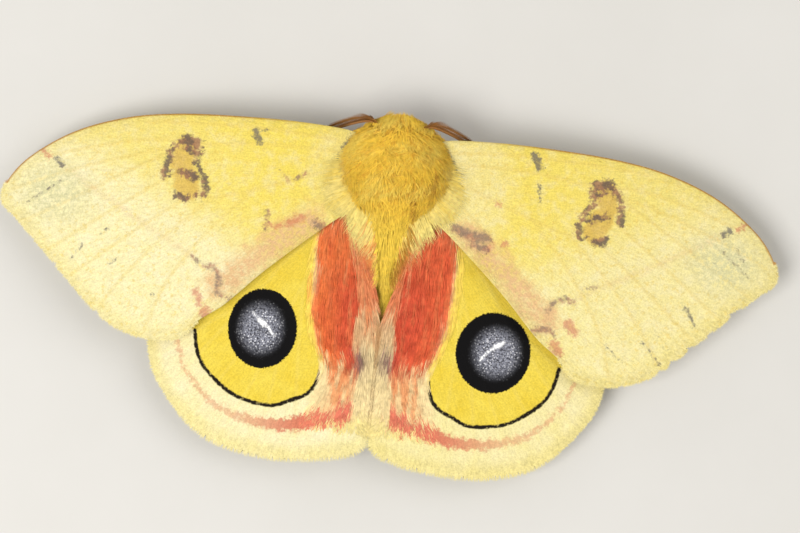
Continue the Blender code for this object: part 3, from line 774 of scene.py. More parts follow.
def hindwing_outline():
    inner = [(float(hindwing_edge(y)), y) for y in np.arange(-7.5, 10.6, 0.5)]
    return evenly(np.concatenate([smooth_path(HINDWING_KEYS, 8), np.array(inner), [(2.6, 11.6)]]),
    WING_GRID * 0.6)


def from_margin(spots, outline):
    return away(spots, np.concatenate([outline, outline[:1]]))


def stretch(outline, *ends):
    """Where on an outline its points nearest to two others are."""
    return [np.argmin(np.linalg.norm(outline - end, axis=1)) for end in ends]


def worn(outline, from_point, to_point, depth, nicks, seed):
    """The same outline with its outer margin a little ragged, and nicked at some places."""
    spots = outline.copy()
    start, stop = stretch(spots, from_point, to_point)
    middle = spots.mean(0)
    rng = np.random.default_rng(seed)
    for k in range(start, stop):
        bite = depth * rng.uniform(0, 1) ** 2
        for nick, deep, wide in nicks:
            bite += deep * math.exp(-((np.linalg.norm(outline[k] - nick) / wide) ** 2))
        spots[k] += unit(middle - spots[k]) * bite
    return spots


def wing_plan(outline):
    """Flat points and triangles that fill an outline evenly."""
    low, high = outline.min(0), outline.max(0)
    columns = np.arange(low[0], high[0], WING_GRID)
    rows = np.arange(low[1], high[1], WING_GRID * 0.87)
    grid = np.stack(np.meshgrid(columns, rows), -1)
    grid[1::2, :, 0] += WING_GRID / 2
    grid = grid.reshape(-1, 2)
    grid = grid[within(grid, outline)]
    grid = grid[from_margin(grid, outline) > 0.6 * WING_GRID]
    spots = [Vector(spot) for spot in np.concatenate([outline, grid])]
    found = delaunay_2d_cdt(spots, [], [list(range(len(outline)))], 1, 1e-4)
    return np.array([tuple(spot) for spot in found[0]]), np.array(found[2])


def wing_shape(outline, veins, height):
    """The membrane with its veins raised on both faces, thinning towards the margin."""
    spots, faces = wing_plan(outline)
    x, y = spots[:, 0], spots[:, 1]
    margin = from_margin(spots, outline)
    vein = np.min([away(spots, smooth_path(keys, 6)) for keys in veins], 0)
    half = RIM_THICK / 2 + (WING_THICK - RIM_THICK) / 2 * np.clip(margin / 1.5, 0, 1)
    ridge = VEIN_RISE * np.clip(1 - vein / VEIN_HALF_WIDTH, 0, 1) * np.clip(margin / 1.0, 0, 1)
    middle = height(x, y)
    upper = np.stack([x, y, middle + half + ridge], -1)
    lower = np.stack([x, y, middle - half - ridge], -1)
    count = len(spots)
    edges = {(a, b) for face in faces.tolist() for a, b in zip(face, face[1:] + face[:1])}
    rim = [(b, a, a + count) for a, b in edges if (b, a) not in edges]
    rim += [(b, a + count, b + count) for a, b in edges if (b, a) not in edges]
    triangles = np.concatenate([faces, faces[:, ::-1] + count, np.array(rim)])
    return np.concatenate([upper, lower]), triangles


def lie_of(spots, hinge, turn):
    """The way the scales lie: out from the hinge, turned a little at random."""
    way = unit(spots - hinge)
    turn = np.radians(turn)
    return np.stack([way[:, 0] * np.cos(turn) - way[:, 1] * np.sin(turn),
                     way[:, 0] * np.sin(turn) + way[:, 1] * np.cos(turn)], -1)


def scattered(outline, per_mm2, rng, hinge, lengths, turn):
    """Spots for scales all over a wing, how each lies and its length, with none past the margin."""
    low, high = outline.min(0), outline.max(0)
    spots = rng.uniform(low, high, (int(per_mm2 * np.prod(high - low)), 2))
    spots = spots[within(spots, outline)]
    way = lie_of(spots, hinge, rng.normal(0, turn, len(spots)))
    length = rng.uniform(*lengths, len(spots))
    tips = spots + way * length[:, None]
    keep = within(tips, outline) & (from_margin(tips, outline) > 0.05)
    keep &= from_margin(spots, outline) > 0.1
    return spots[keep], way[keep], length[keep]


def wing_tufts(spots, way, length, wide, rise, height, face):
    """Scales that lie on a wing, on its upper or lower face, from spots on it, each its own way."""
    spine = []
    for step in (0, 1):
        at = spots + way * (length * step)[:, None]
        margin = WING_THICK / 2 - 0.04 + rise * step
        spine.append(np.stack([at[:, 0], at[:, 1], height(at[:, 0], at[:, 1]) + face * margin], -1))
    points, triangles = tufts(np.array(spine), upward(len(spots)), wide, SCALE_RIDGE * face)
    return points, triangles if face > 0 else triangles[:, ::-1]


def fringe_shape(outline, from_point, to_point, height, rng, face):
    """One face of the fringe: short hairs that stand out all along the outer margin."""
    start, stop = stretch(outline, from_point, to_point)
    rim = evenly(outline[start:stop + 1], FRINGE_STEP[face])
    ahead = unit(np.gradient(rim, axis=0))
    out = np.stack([-ahead[:, 1], ahead[:, 0]], -1)
    out *= np.sign(((rim - outline.mean(0)) * out).sum(1).mean())
    way = unit(out + ahead * rng.normal(0, 0.18, (len(rim), 1)))
    length = rng.uniform(0.22, 0.42, len(rim)) + 0.4 * np.interp(-rim[:, 1], (7.5, 10.0), (0, 1))
    length *= FRINGE_SHARE[face]
    lift = rng.normal(0, 0.008, len(rim)) + 0.035 * face
    spine = []
    for step in (0, 1):
        at = rim - out * 0.12 + way * (length * step)[:, None]
        level = height(at[:, 0], at[:, 1]) + lift - 0.05 * step
        spine.append(np.stack([at[:, 0], at[:, 1], level], -1))
    wide = rng.uniform(0.08, 0.13, len(rim))
    points, triangles = tufts(np.array(spine), upward(len(rim)), wide, SCALE_RIDGE * face)
    return rim, (points, triangles if face > 0 else triangles[:, ::-1])


def wing_coat(name, side, outline, hinge, margin, height, per_mm2, numbers_at, material, seed):
    """The scales of both faces of a wing and its fringe as one piece, with its markings."""
    rng = np.random.default_rng(seed)
    parts, seen, roots, ways = [], [], [], []
    for face, density in ((1, per_mm2), (-1, per_mm2 * UNDER_SHARE)):
        spots, way, length = scattered(outline, density, rng, hinge, FUR_LENGTH, 14)
        wide = rng.uniform(*FUR_WIDTH, len(spots))
        parts.append(wing_tufts(spots, way, length, wide, FUR_RISE, height, face))
        seen.append(spots + way * length[:, None] * 0.5)
        roots.append(spots)
        ways.append(np.full(len(spots), face))
        rim, edging = fringe_shape(outline, *margin, height, rng, face)
        parts.append(edging)
        seen.append(rim)
        roots.append(rim)
        ways.append(np.full(len(rim), face))
    points, triangles = joined(*parts)
    coat = add_piece(name, mirrored(points, side), turned(triangles, side), material)
    face = np.concatenate(ways)
    numbers = numbers_at(np.concatenate(seen), side, outline, face)
    numbers["shade"] = rng.uniform(0.95, 1.05, len(face))
    put_numbers(coat, {key: np.repeat(values, SCALE_CORNERS, 0) for key, values in numbers.items()})
    shift = (0, 0.2 if height is forewing_height else 0.4)
    put_bake_map(coat, np.concatenate(roots) / WING_MAP + shift, SCALE_CORNERS)
    softened(coat, np.repeat(face, SCALE_CORNERS)[:, None] * (0.0, 0.0, 1.0), 0.85)


def marks(spots, shapes):
    """How far each spot is outside the nearest of some marks: below 0 it is inside one."""
    found = [away(spots, path if len(path) > 1 else path * 2) - half for path, half in shapes]
    return np.min(found, 0) if found else np.full(len(spots), 9.0)


def capped(values, most=FAR):
    return np.minimum(values, most)


# Forewing markings
# Pale to deep yellow, with a grey-brown mark at the end of the cell, broken brown and
# pink marks near the body and hind margin, and grey vein streaks near the tip.
DISC = (
    (((17.6, 15.45), (18.6, 15.7)), 0.5), (((17.5, 14.6), (18.3, 14.9)), 0.3),
    (((18.8, 15.7), (19.7, 14.6), (20.1, 13.1), (20.0, 12.3)), 0.26),
    (((17.2, 15.0), (17.5, 13.8), (16.7, 12.7), (16.2, 11.7), (16.5, 10.8)), 0.24),
    (((18.0, 10.55), (18.8, 10.75)), 0.32), (((17.3, 12.5), (18.5, 12.8)), 0.32),
    (((19.9, 12.6),), 0.4), (((16.4, 11.4),), 0.36), (((17.0, 10.9), (18.0, 10.55)), 0.1),
)
FOREWING_MARKS = {
    1: {
        "grey": (
            (((3.9, 17.5), (4.4, 16.7), (5.2, 15.3)), 0.10), (((11.9, 17.5), (12.4, 16.5)), 0.30),
            (((12.55, 15.1), (12.7, 13.6)), 0.03), (((29.2, 12.4), (29.7, 12.8)), 0.24),
            (((29.0, 11.1), (31.9, 8.8)), 0.02), (((30.5, 11.2), (31.5, 9.8)), 0.02),
            (((26.7, 5.6), (27.4, 4.1)), 0.09), (((25.9, 6.0), (26.9, 4.9)), 0.01),
            (((23.0, 2.3), (24.7, 0.5)), 0.02), (((19.8, 1.7), (21.4, 0.4)), 0.01),
            (((24.2, 3.2), (25.3, 1.9)), 0.01),
        ),
        "brown": (
            (((5.7, 10.45), (7.1, 9.9), (8.5, 9.9)), 0.42), (((7.4, 9.2), (8.4, 8.9)), 0.3),
            (((14.5, 4.0), (14.8, 4.8), (15.9, 5.4), (16.7, 5.0)), 0.2),
            (((13.5, 2.3), (14.7, 2.6)), 0.26), (((14.7, 2.6), (15.3, 2.1)), 0.08),
            (((17.4, 6.4), (18.5, 6.6)), 0.06),
        ),
        "disc": DISC,
        "red": (
            (((10.1, 9.5),), 0.34), (((9.1, 13.0),), 0.2), (((30.4, 13.0), (31.1, 13.5)), 0.13),
            (((16.4, 3.2), (16.9, 2.6)), 0.42), (((15.3, 1.2), (15.7, 0.7)), 0.42),
            (((8.6, 8.9), (9.0, 9.3)), 0.2),
        ),
    },
    -1: {
        "grey": (
            (((12.5, 17.0), (12.1, 16.2)), 0.3), (((12.2, 17.1), (11.5, 17.2)), 0.08),
            (((4.3, 17.4), (4.8, 16.4)), 0.12), (((4.9, 15.9), (5.2, 15.3)), 0.12),
            (((26.7, 5.6), (27.4, 4.4)), 0.03), (((29.2, 12.4), (29.7, 12.8)), 0.24),
            (((29.0, 11.1), (31.9, 8.8)), 0.02), (((25.1, 6.8), (24.4, 7.3)), 0.02),
            (((24.3, 4.1), (23.4, 4.8)), 0.02), (((20.0, 1.9),), 0.12),
        ),
        "brown": (
            (((8.5, 13.3), (7.7, 13.9)), 0.07), (((10.7, 10.2), (10.7, 8.7)), 0.14),
            (((6.6, 9.6), (5.9, 9.3)), 0.34),
            (((16.8, 5.6), (15.9, 4.7), (14.8, 5.0), (14.3, 3.9), (14.5, 2.7), (13.1, 2.1)), 0.12),
            (((15.9, 4.8), (15.1, 4.9)), 0.2), (((14.4, 4.1), (14.4, 3.5)), 0.2),
            (((9.9, 13.8), (9.1, 12.9)), 0.03),
        ),
        "disc": DISC,
        "red": (
            (((10.7, 9.0), (9.4, 9.1)), 0.2), (((8.8, 9.3), (7.7, 10.0)), 0.3),
            (((16.3, 2.6), (15.8, 1.7)), 0.3), (((14.9, 0.4), (15.3, 0.8)), 0.5),
            (((30.4, 13.0), (31.1, 13.5)), 0.13),
        ),
    },
}
DISC_FILL = ((((18.4, 14.9), (18.7, 13.6)), 1.0), (((18.3, 12.6), (17.8, 11.4)), 1.0))
HIND_WASH = ((((6.8, 9.9), (9.0, 8.2), (11.4, 6.0), (14.4, 3.4)), 1.15),)
OUTER_LINE = ((((17.0, 5.6), (19.0, 6.8), (21.5, 8.0), (24.0, 9.4), (26.5, 10.8), (29.2, 12.4)),
0.05),)
# Painted light: the left wings are painted paler than the right ones, for the stronger light on the
# left; the pale outer part itself is the wings' own colour.
PALER_AND_LEFT_LIT = {1: 0.5, -1: 0.9}
BASE_PALER = {1: 0.4, -1: 0}
TIP_BLUSH = ((29.6, 9.9), (4.2, 3.4))


def rising(value, low, high):
    share = np.clip((value - low) / (high - low), 0, 1)
    return share * share * (3 - 2 * share)


def wing_numbers(spots, outline, veins, hinge, spread):
    """How far each spot is from the margin, a vein and the hinge, and which way from there."""
    from_hinge = spots - hinge
    return {
        "margin": capped(from_margin(spots, outline), 12),
        "vein": capped(np.min([away(spots, smooth_path(keys, 4)) for keys in veins], 0)),
        "reach": np.linalg.norm(from_hinge, axis=1),
        "ray": np.arctan2(from_hinge[:, 1], from_hinge[:, 0]) * spread,
    }


def forewing_numbers(spots, side, outline, face):
    """What the forewing's material needs at each spot. Below it is plain but for the disc."""


    numbers = {name: capped(marks(spots, shapes)) for name, shapes in FOREWING_MARKS[side].items()}
    numbers["disc_fill"] = capped(marks(spots, DISC_FILL))
    numbers["wash"] = capped(marks(spots, HIND_WASH), 6)
    numbers["faint"] = capped(marks(spots, OUTER_LINE))
    numbers["tip"] = capped(np.linalg.norm((spots - TIP_BLUSH[0]) / TIP_BLUSH[1], axis=1))
    numbers |= wing_numbers(spots, outline, FOREWING_VEINS, FOREWING_HINGE, 16)
    numbers["costa"] = capped(away(spots, smooth_path(FOREWING_KEYS[1:9], 6)), 20)
    numbers["paler"] = PALER_AND_LEFT_LIT[side] * rising(spots[:, 0] * 0.5 - spots[:, 1], -3.0, 2.0)
    numbers["paler"] += BASE_PALER[side] * (1 - rising(numbers["reach"], 6.5, 10.0))
    for name in ("grey", "brown", "red", "wash", "faint"):
        numbers[name] = np.where(face > 0, numbers[name], FAR)
    return numbers


def wing_grain(tree):
    """The fine grain of the scales: streaks along their lie, 0.1 mm wide, and finer specks."""
    along = times(tree, given(tree, "reach"), 1.1)
    across = times(tree, given(tree, "ray"), 7.0)
    joined_up = tree.nodes.new("ShaderNodeCombineXYZ")
    tree.links.new(along, joined_up.inputs[0])
    tree.links.new(across, joined_up.inputs[1])
    streak = noise(tree, joined_up.outputs[0], 1.0, 4, 0.65)
    speck = noise(tree, object_place(tree), 7000, 2)
    return streak, speck


def mark_share(tree, name, soft, ragged, rough_by):
    """How much a mark covers a spot: its edge is soft, and broken up by noise."""
    push = times(tree, plus(tree, rough_by, -0.5), ragged)
    pushed = plus(tree, given(tree, name), push)
    return ramp(tree, pushed, soft, -soft)


def finish_wing(tree, shader, colour, streak, speck):
    """The last touch on a wing's colour: grain, shade and bump."""
    dark = ramp(tree, streak, 0.3, 0.7, 0.92, 1.06)
    dark = times(tree, dark, ramp(tree, speck, 0.3, 0.7, 0.9, 1.08))
    dark = times(tree, dark, given(tree, "shade"))
    grey = tree.nodes.new("ShaderNodeCombineColor")
    for socket in grey.inputs:
        tree.links.new(dark, socket)
    colour = mixed(tree, 1.0, colour, grey.outputs[0], "MULTIPLY")
    tree.links.new(colour, shader.inputs["Base Color"])
    shader.inputs["Sheen Weight"].default_value = 0.06
    shader.inputs["Specular IOR Level"].default_value = 0.1
    relief = plus(tree, times(tree, streak, 0.7), times(tree, speck, 0.3))
    bumped(tree, shader, relief, 0.00007)


def forewing_material():
    material, tree, shader = new_material("forewing_scales", 0.75)
    where = object_place(tree)
    streak, speck = wing_grain(tree)
    broad = noise(tree, where, 170, 3)
    blotch = noise(tree, where, 900, 5, 0.65)
    fine = noise(tree, where, 2600, 3, 0.6)
    deep, pale, chalk = linear(230, 208, 92), linear(226, 210, 126), linear(229, 217, 164)
    outward = plus(tree, given(tree, "reach"), times(tree, given(tree, "costa"), 0.6))
    outward = plus(tree, outward, times(tree, broad, 12))
    colour = mixed(tree, ramp(tree, outward, 12, 36), deep, pale)
    colour = mixed(tree, ramp(tree, blotch, 0.42, 0.7, 0.0, 0.5), colour, chalk)
    colour = mixed(tree, ramp(tree, given(tree, "reach"), 7, 3, 0.0, 0.4), colour, chalk)
    # The pale outer part of the wing, which the left wing gets more of as painted light.
    pale_and_lit_colour = mixed(tree, blotch, linear(228, 216, 150), linear(234, 227, 194))
    colour = mixed(tree, given(tree, "paler"), colour, pale_and_lit_colour)
    colour = mixed(tree, ramp(tree, fine, 0.5, 0.74, 0.0, 0.5), colour, linear(216, 184, 84))
    rim = ramp(tree, given(tree, "margin"), 1.6, 0.2, 0.0, 0.25)
    colour = mixed(tree, rim, colour, linear(230, 208, 104))
    vein = ramp(tree, given(tree, "vein"), 0.26, 0.05, 0.0, 0.3)
    colour = mixed(tree, vein, colour, linear(214, 186, 100))
    patchy = ramp(tree, fine, 0.35, 0.62, 0.42, 0.9)
    wash = times(tree, mark_share(tree, "wash", 0.9, 3.4, blotch), patchy)
    rosy = mixed(tree, fine, linear(200, 148, 106), linear(224, 188, 140))
    colour = mixed(tree, wash, colour, rosy)
    faint = times(tree, mark_share(tree, "faint", 0.5, 1.6, fine), 0.35)
    colour = mixed(tree, faint, colour, linear(200, 152, 104))
    tip = times(tree, ramp(tree, given(tree, "tip"), 1.25, 0.2), ramp(tree, fine, 0.35, 0.6))
    colour = mixed(tree, times(tree, tip, 0.75), colour, linear(198, 196, 154))
    scratch = times(tree, ramp(tree, given(tree, "tip"), 1.2, 0.3), ramp(tree, streak, 0.6, 0.72))
    colour = mixed(tree, times(tree, scratch, 0.5), colour, linear(120, 116, 100))
    red = mark_share(tree, "red", 0.24, 1.4, fine)
    colour = mixed(tree, times(tree, red, 0.68), colour, linear(196, 114, 92))
    brown = mark_share(tree, "brown", 0.24, 1.3, fine)
    dusk = mixed(tree, ramp(tree, blotch, 0.42, 0.6), linear(126, 104, 96), linear(172, 118, 94))
    colour = mixed(tree, times(tree, brown, 0.8), colour, dusk)
    fill = mark_share(tree, "disc_fill", 0.25, 1.2, blotch)
    amber = mixed(tree, fine, linear(176, 130, 56), linear(222, 188, 92))
    colour = mixed(tree, times(tree, fill, 0.7), colour, amber)
    disc = mark_share(tree, "disc", 0.2, 1.5, fine)
    ink = mixed(tree, ramp(tree, blotch, 0.44, 0.6), linear(86, 70, 76), linear(150, 104, 84))
    colour = mixed(tree, times(tree, disc, 0.85), colour, ink)
    grey = mark_share(tree, "grey", 0.16, 1.1, fine)
    colour = mixed(tree, times(tree, grey, 0.8), colour, linear(94, 90, 92))
    edge = ramp(tree, given(tree, "costa"), 0.2, 0.06)
    edge = times(tree, edge, ramp(tree, given(tree, "reach"), 4, 14))
    colour = mixed(tree, times(tree, edge, 0.75), colour, linear(176, 112, 40))
    finish_wing(tree, shader, colour, streak, speck)
    return material


FOREWING_NICKS = (
    ((31.4, 6.0), 0.35, 0.3), ((30.9, 5.5), 0.5, 0.35), ((29.0, 3.7), 0.25, 0.2),
    ((27.3, 2.1), 0.4, 0.25), ((25.9, 0.7), 0.3, 0.4), ((24.9, -0.2), 0.4, 0.25),
    ((21.6, -1.6), 0.3, 0.2),
)


def make_forewings():
    material = forewing_material()
    whole = forewing_outline()
    for side, word in SIDES:
        nicks = FOREWING_NICKS if side > 0 else FOREWING_NICKS[2::3]
        outline = worn(whole, (33.2, 7.8), (17.2, -1.5), 0.14, nicks, 12 + side)
        points, triangles = wing_shape(outline, FOREWING_VEINS, forewing_height)
        wing = add_piece(f"forewing_{word}.plate", mirrored(points, side), turned(triangles, side),
        material)
        face = np.repeat((1, -1), len(points) // 2)
        numbers = forewing_numbers(points[:, :2], side, outline, face)
        put_numbers(wing, {**numbers, "shade": np.ones(len(points))})
        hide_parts(f"forewing_{word}")
        margin = ((33.9, 10.4), (15.9, 0.0))
        wing_coat(f"forewing_{word}.fur", side, outline, FOREWING_HINGE, margin, forewing_height,
                  WING_FUR, forewing_numbers, material, 60 + side)


make_forewings()


# Hindwing markings and hair
# Deep yellow round a black eyespot with a frosted grey heart, framed by a thin black
# line and a pink band, with long red, orange and cream hair on its inner part.
EYESPOT = {1: ((10.17, -0.06), (3.3, 3.56)), -1: ((10.2, -0.06), (3.05, 3.5))}
HEART = {1: ((10.45, -0.02), (2.25, 2.4)), -1: ((10.35, -0.05), (2.1, 2.4))}
GLINT = {
    1: ((((9.1, -0.8), (9.6, -0.1), (10.2, 0.45), (11.1, 1.05)), 0.09),
    (((10.3, 0.5), (10.75, 0.75)), 0.2)),
    -1: ((((11.15, 1.25), (10.6, 0.75), (9.8, 0.2), (9.1, -0.6)), 0.09),
    (((10.45, 0.6), (10.1, 0.35)), 0.22)),
}
GLINT_BELOW = ((((10.2, -0.1),), 0.3),)
EYE_LINE = (
    (16.1, -0.8), (15.9, -2.1), (15.4, -3.4), (14.6, -4.4), (13.5, -5.3), (12.2, -6.1),
    (10.9, -6.5), (9.5, -6.7), (8.4, -6.65), (7.3, -6.15), (6.1, -5.6), (5.4, -5.0), (4.95, -4.0),
    (4.75, -3.1),
)
DEEP_YELLOW_TO = ((5.6, 0.0), (6.5, 5.0), (5.4, 10.5), (4.0, 13.0), (22.0, 13.0), (22.0, -0.8))
PINK_BAND = (
    (17.6, -2.0), (16.6, -4.4), (14.2, -6.9), (11.6, -7.95), (8.5, -8.35), (6.2, -8.0), (4.4, -7.4),
    (2.9, -7.1), (2.2, -6.4),
)
# The red hair lies between two lines, each given as Y and the distance from the middle line there.
RED_INNER = {
    1: (
        (-9.4, 1.9), (-5.0, 1.5), (-2.5, 1.2), (-1.1, 1.45), (1.6, 1.45), (4.4, 1.55), (7.2, 1.95),
        (8.6, 2.4), (9.8, 3.15), (10.8, 3.6),
    ),
    -1: (
        (-9.4, 2.0), (-5.0, 1.6), (-2.5, 1.3), (-1.5, 1.8), (1.2, 1.9), (4.0, 2.25), (6.7, 2.8),
        (8.4, 3.3), (9.8, 3.7), (10.8, 3.9),
    ),
}
RED_OUTER = (
    (-9.4, 6.3), (-6.0, 5.05), (-4.8, 4.7), (-3.4, 4.4), (-2.4, 4.6), (-0.8, 5.35), (1.5, 6.05),
    (4.5, 6.3), (8.4, 6.3), (9.3, 6.1), (10.2, 5.7), (10.8, 5.2),
)
RED_FROM, RED_TO = -2.3, 10.9
MAUVE = {1: (0.95, -1.5), -1: (1.45, -1.7)}


def lane_lines(y, side):
    """X of the red hair's inner and outer line and of the wing's inner margin at Y."""
    inner, outer = (np.interp(y, *np.array(line).T) for line in (RED_INNER[side], RED_OUTER))
    return inner, outer, np.minimum(hindwing_edge(y), inner - 0.02)


def lane_of(x, y, side):
    """0 at the red hair's inner line, 1 at its outer one, and -1 at the wing's inner margin."""
    inner, outer, edge = lane_lines(y, side)
    return np.where(x > inner, (x - inner) / (outer - inner), (x - inner) / (inner - edge))


def lane_x(lane, y, side):
    inner, outer, edge = lane_lines(y, side)
    return np.where(lane > 0, inner + lane * (outer - inner), inner + lane * (inner - edge))


def blended(base, share, colour):
    return base * (1 - share[:, None]) + np.array(linear(*colour)) * share[:, None]


def from_band(spots):
    """How far each spot is outside the pink band, which narrows outwards."""
    half = np.interp(spots[:, 0], (3, 8, 17), (0.8, 0.5, 0.14))
    return away(spots, smooth_path(PINK_BAND, 4)) - half


def plain(colour, count):
    return np.repeat(np.array([linear(*colour)]), count, 0)


def hair_tint(x, y, side):
    """The colour of the long hair on the hindwing, and how far it covers the wing's own yellow."""
    lane = lane_of(x, y, side)
    spots = np.stack([x, y * 0.12], -1)
    streak = 0.5 + 0.5 * wavy(spots, 0.8, 3 + side)
    broad = 0.5 + 0.5 * wavy(np.stack([x, y * 0.4], -1), 2.4, 7 + side)
    tint = plain((240, 216, 160), len(y))
    tint = blended(tint, rising(lane, 0.9, 1.02) * rising(y, -3.5, -1.0), (248, 216, 92))
    inner = 1 - rising(lane + (streak - 0.5) * 0.3, -0.12, 0.12)
    beige = inner * rising(y, -0.8, 0.8) * (1 - rising(y, 1.9, 4.2))
    tint = blended(tint, beige, (224, 186, 138) if side > 0 else (220, 174, 126))
    salmon = inner * rising(y + (streak - 0.5) * 2.4, 1.4, 3.7)
    tint = blended(tint, salmon * 0.9, (224, 114, 70))
    tint = blended(tint, salmon * rising(streak, 0.5, 0.9) * 0.45, (234, 168, 110))
    top = RED_TO + (streak - 0.5) * 1.2
    red = (1 - inner) * (1 - rising(lane + (streak - 0.5) * 0.14, 0.86, 1.04))
    red *= 1 - rising(y, top - 1.0, top + 0.5)
    red *= rising(y + (streak - 0.5) * 2.8, RED_FROM - 1.2, RED_FROM + 1.0)
    tint = blended(tint, red, (224, 98, 58) if side > 0 else (232, 118, 60))
    deep = red * (1 - rising(lane + (streak - 0.5) * 0.4, 0.25, 0.75)) * (1 - rising(y, 3.0, 9.0))
    tint = blended(tint, deep * 0.85, (210, 78, 52))
    tint = blended(tint, red * rising(streak, 0.55, 0.95) * 0.45, (212, 82, 50))
    tint = blended(tint, red * (1 - rising(streak, 0.1, 0.4)) * 0.3, (240, 146, 88))
    orange = red * rising(y, 8.2, 10.6) * rising(broad, 0.1, 0.6)
    tint = blended(tint, orange * 0.6, (236, 140, 92))
    straw = rising(y + (streak - 0.5) * 2.4, 7.4, 9.4)
    straw *= 1 - rising(lane + (streak - 0.5) * 0.5, -0.15, 0.25)
    tint = blended(tint, straw * 0.9, (244, 222, 130))
    # Painted shade: the hair along the middle line, where the two hindwings meet, is painted brown
    # for the shadow in the seam between them, down to the wings' lower end.
    middle = (1 - rising(x, 0.1, 0.45)) * rising(y, -2.6, -1.0) * (1 - rising(y, 3.6, 5.0))
    tint = blended(tint, middle * 0.7, (176, 124, 72))
    seam_shadow = (1 - rising(x, 0.0, 0.15)) * (1 - rising(y, -2.0, 0.0)) * rising(y, -9.0, -8.4)
    tint = blended(tint, seam_shadow * 0.6, (172, 138, 92))
    spot = MAUVE[side]
    mauve = np.exp(-(((x - spot[0]) / 0.68) ** 2) - ((y - spot[1]) / 1.1) ** 2)
    tint = blended(tint, mauve * (0.75 + 0.25 * streak), (118, 74, 84))
    low = (1 - rising(y, RED_FROM - 0.8, RED_FROM + 0.9)) * rising(y, -7.2, -5.8)
    peach = low * rising(lane, -0.05, 0.2) * (1 - rising(lane, 0.6, 0.95))
    peach *= 0.3 + 0.7 * rising(streak, 0.3, 0.7)
    tint = blended(tint, peach * 0.85, (238, 156, 100))
    tint = blended(tint, (1 - rising(y, -8.0, -5.8)) * 0.8, (234, 216, 136))
    band = from_band(np.stack([x, y], -1))
    tint = blended(tint, rising(-band + (streak - 0.5) * 0.6, -0.2, 0.25) * 0.9, (222, 108, 88))
    cover = (1 - rising(lane, 0.98, 1.12)) * (1 - rising(y, 10.6, 11.4)) * rising(y, -8.6, -6.0)
    return tint, np.maximum(cover, 0)


def hindwing_numbers(spots, side, outline, face):
    """What the hindwing's material needs at each spot. Below it is pale, with a white spot."""
    x, y = spots[:, 0], spots[:, 1]
    numbers = wing_numbers(spots, outline, HINDWING_VEINS, HINDWING_HINGE, 13)
    for name, (centre, reach) in (("ring", EYESPOT[side]), ("heart", HEART[side])):
        numbers[name] = capped((np.linalg.norm((spots - centre) / reach, axis=1) - 1) * reach[0])
    numbers["glint"] = capped(np.where(face > 0, marks(spots, GLINT[side]),
    marks(spots, GLINT_BELOW)))
    line = smooth_path(EYE_LINE, 4)
    numbers["line"] = capped(away(spots, line))
    inner = within(spots, np.array([*EYE_LINE, *DEEP_YELLOW_TO]))
    numbers["outside"] = capped(numbers["line"] * np.where(inner, -1, 1))
    numbers["band"] = capped(from_band(spots))
    numbers["inward"] = np.clip((13 - x) / 9, 0, 1)
    # Painted light: the left hindwing is painted paler than the right one.
    numbers["paler"] = np.full(len(spots), PALER_AND_LEFT_LIT[side] - 0.3)
    numbers["tint"], numbers["hair"] = hair_tint(x, y, side)
    for name in ("ring", "heart", "line", "outside", "band"):
        numbers[name] = np.where(face > 0, numbers[name], FAR)
    numbers["hair"] = np.where(face > 0, numbers["hair"], 0)
    return numbers


def hindwing_material():
    material, tree, shader = new_material("hindwing_scales", 0.75)
    where = object_place(tree)
    streak, speck = wing_grain(tree)
    blotch = noise(tree, where, 500, 4, 0.6)
    fine = noise(tree, where, 2600, 3, 0.6)
    deep = mixed(tree, blotch, linear(217, 185, 38), linear(229, 209, 92))
    cream = mixed(tree, blotch, linear(226, 210, 126), linear(230, 219, 170))
    # The pale cream of the wing, which the left wing gets more of as painted light.
    pale_and_lit_colour = mixed(tree, blotch, linear(230, 218, 156), linear(236, 229, 204))
    cream = mixed(tree, given(tree, "paler"), cream, pale_and_lit_colour)
    outside = plus(tree, given(tree, "outside"), times(tree, fine, 0.3))
    colour = mixed(tree, ramp(tree, outside, -0.05, 0.4), deep, cream)
    rim = ramp(tree, given(tree, "margin"), 1.4, 0.2, 0.0, 0.4)
    colour = mixed(tree, rim, colour, linear(230, 212, 120))
    vein = ramp(tree, given(tree, "vein"), 0.26, 0.05, 0.0, 0.12)
    colour = mixed(tree, vein, colour, linear(234, 216, 130))
    band = mark_share(tree, "band", 0.22, 1.5, fine)
    pink = mixed(tree, given(tree, "inward"), linear(206, 138, 104), linear(200, 92, 76))
    strength = times(tree, band, ramp(tree, given(tree, "inward"), 0.0, 0.8, 0.55, 0.92))
    colour = mixed(tree, strength, colour, pink)
    line = plus(tree, given(tree, "line"), times(tree, plus(tree, fine, -0.5), 0.28))
    colour = mixed(tree, ramp(tree, line, 0.23, 0.1), colour, linear(26, 20, 14))
    colour = mixed(tree, given(tree, "hair"), colour, given(tree, "tint", True))
    ring = mark_share(tree, "ring", 0.05, 0.3, speck)
    colour = mixed(tree, ring, colour, linear(8, 7, 8))
    frost = noise(tree, where, 6500, 3, 0.7)
    glow = plus(tree, given(tree, "heart"), times(tree, frost, 1.1))
    glow = ramp(tree, glow, 0.85, -0.5)
    heart = mixed(tree, ramp(tree, frost, 0.36, 0.62), linear(44, 44, 50), linear(150, 152, 164))
    dots = tree.nodes.new("ShaderNodeTexVoronoi")
    feed(tree, dots.inputs["Vector"], where)
    feed(tree, dots.inputs["Scale"], 4600)
    white = ramp(tree, dots.outputs["Distance"], 0.4, 0.2)
    white = times(tree, white, ramp(tree, blotch, 0.35, 0.6, 0.25, 1.0))
    heart = mixed(tree, times(tree, white, 0.9), heart, linear(234, 234, 240))
    colour = mixed(tree, glow, colour, heart)
    colour = mixed(tree, mark_share(tree, "glint", 0.08, 0.6, frost), colour, linear(255, 255, 255))
    finish_wing(tree, shader, colour, streak, speck)
    return material


LONG_HAIRS = 24900


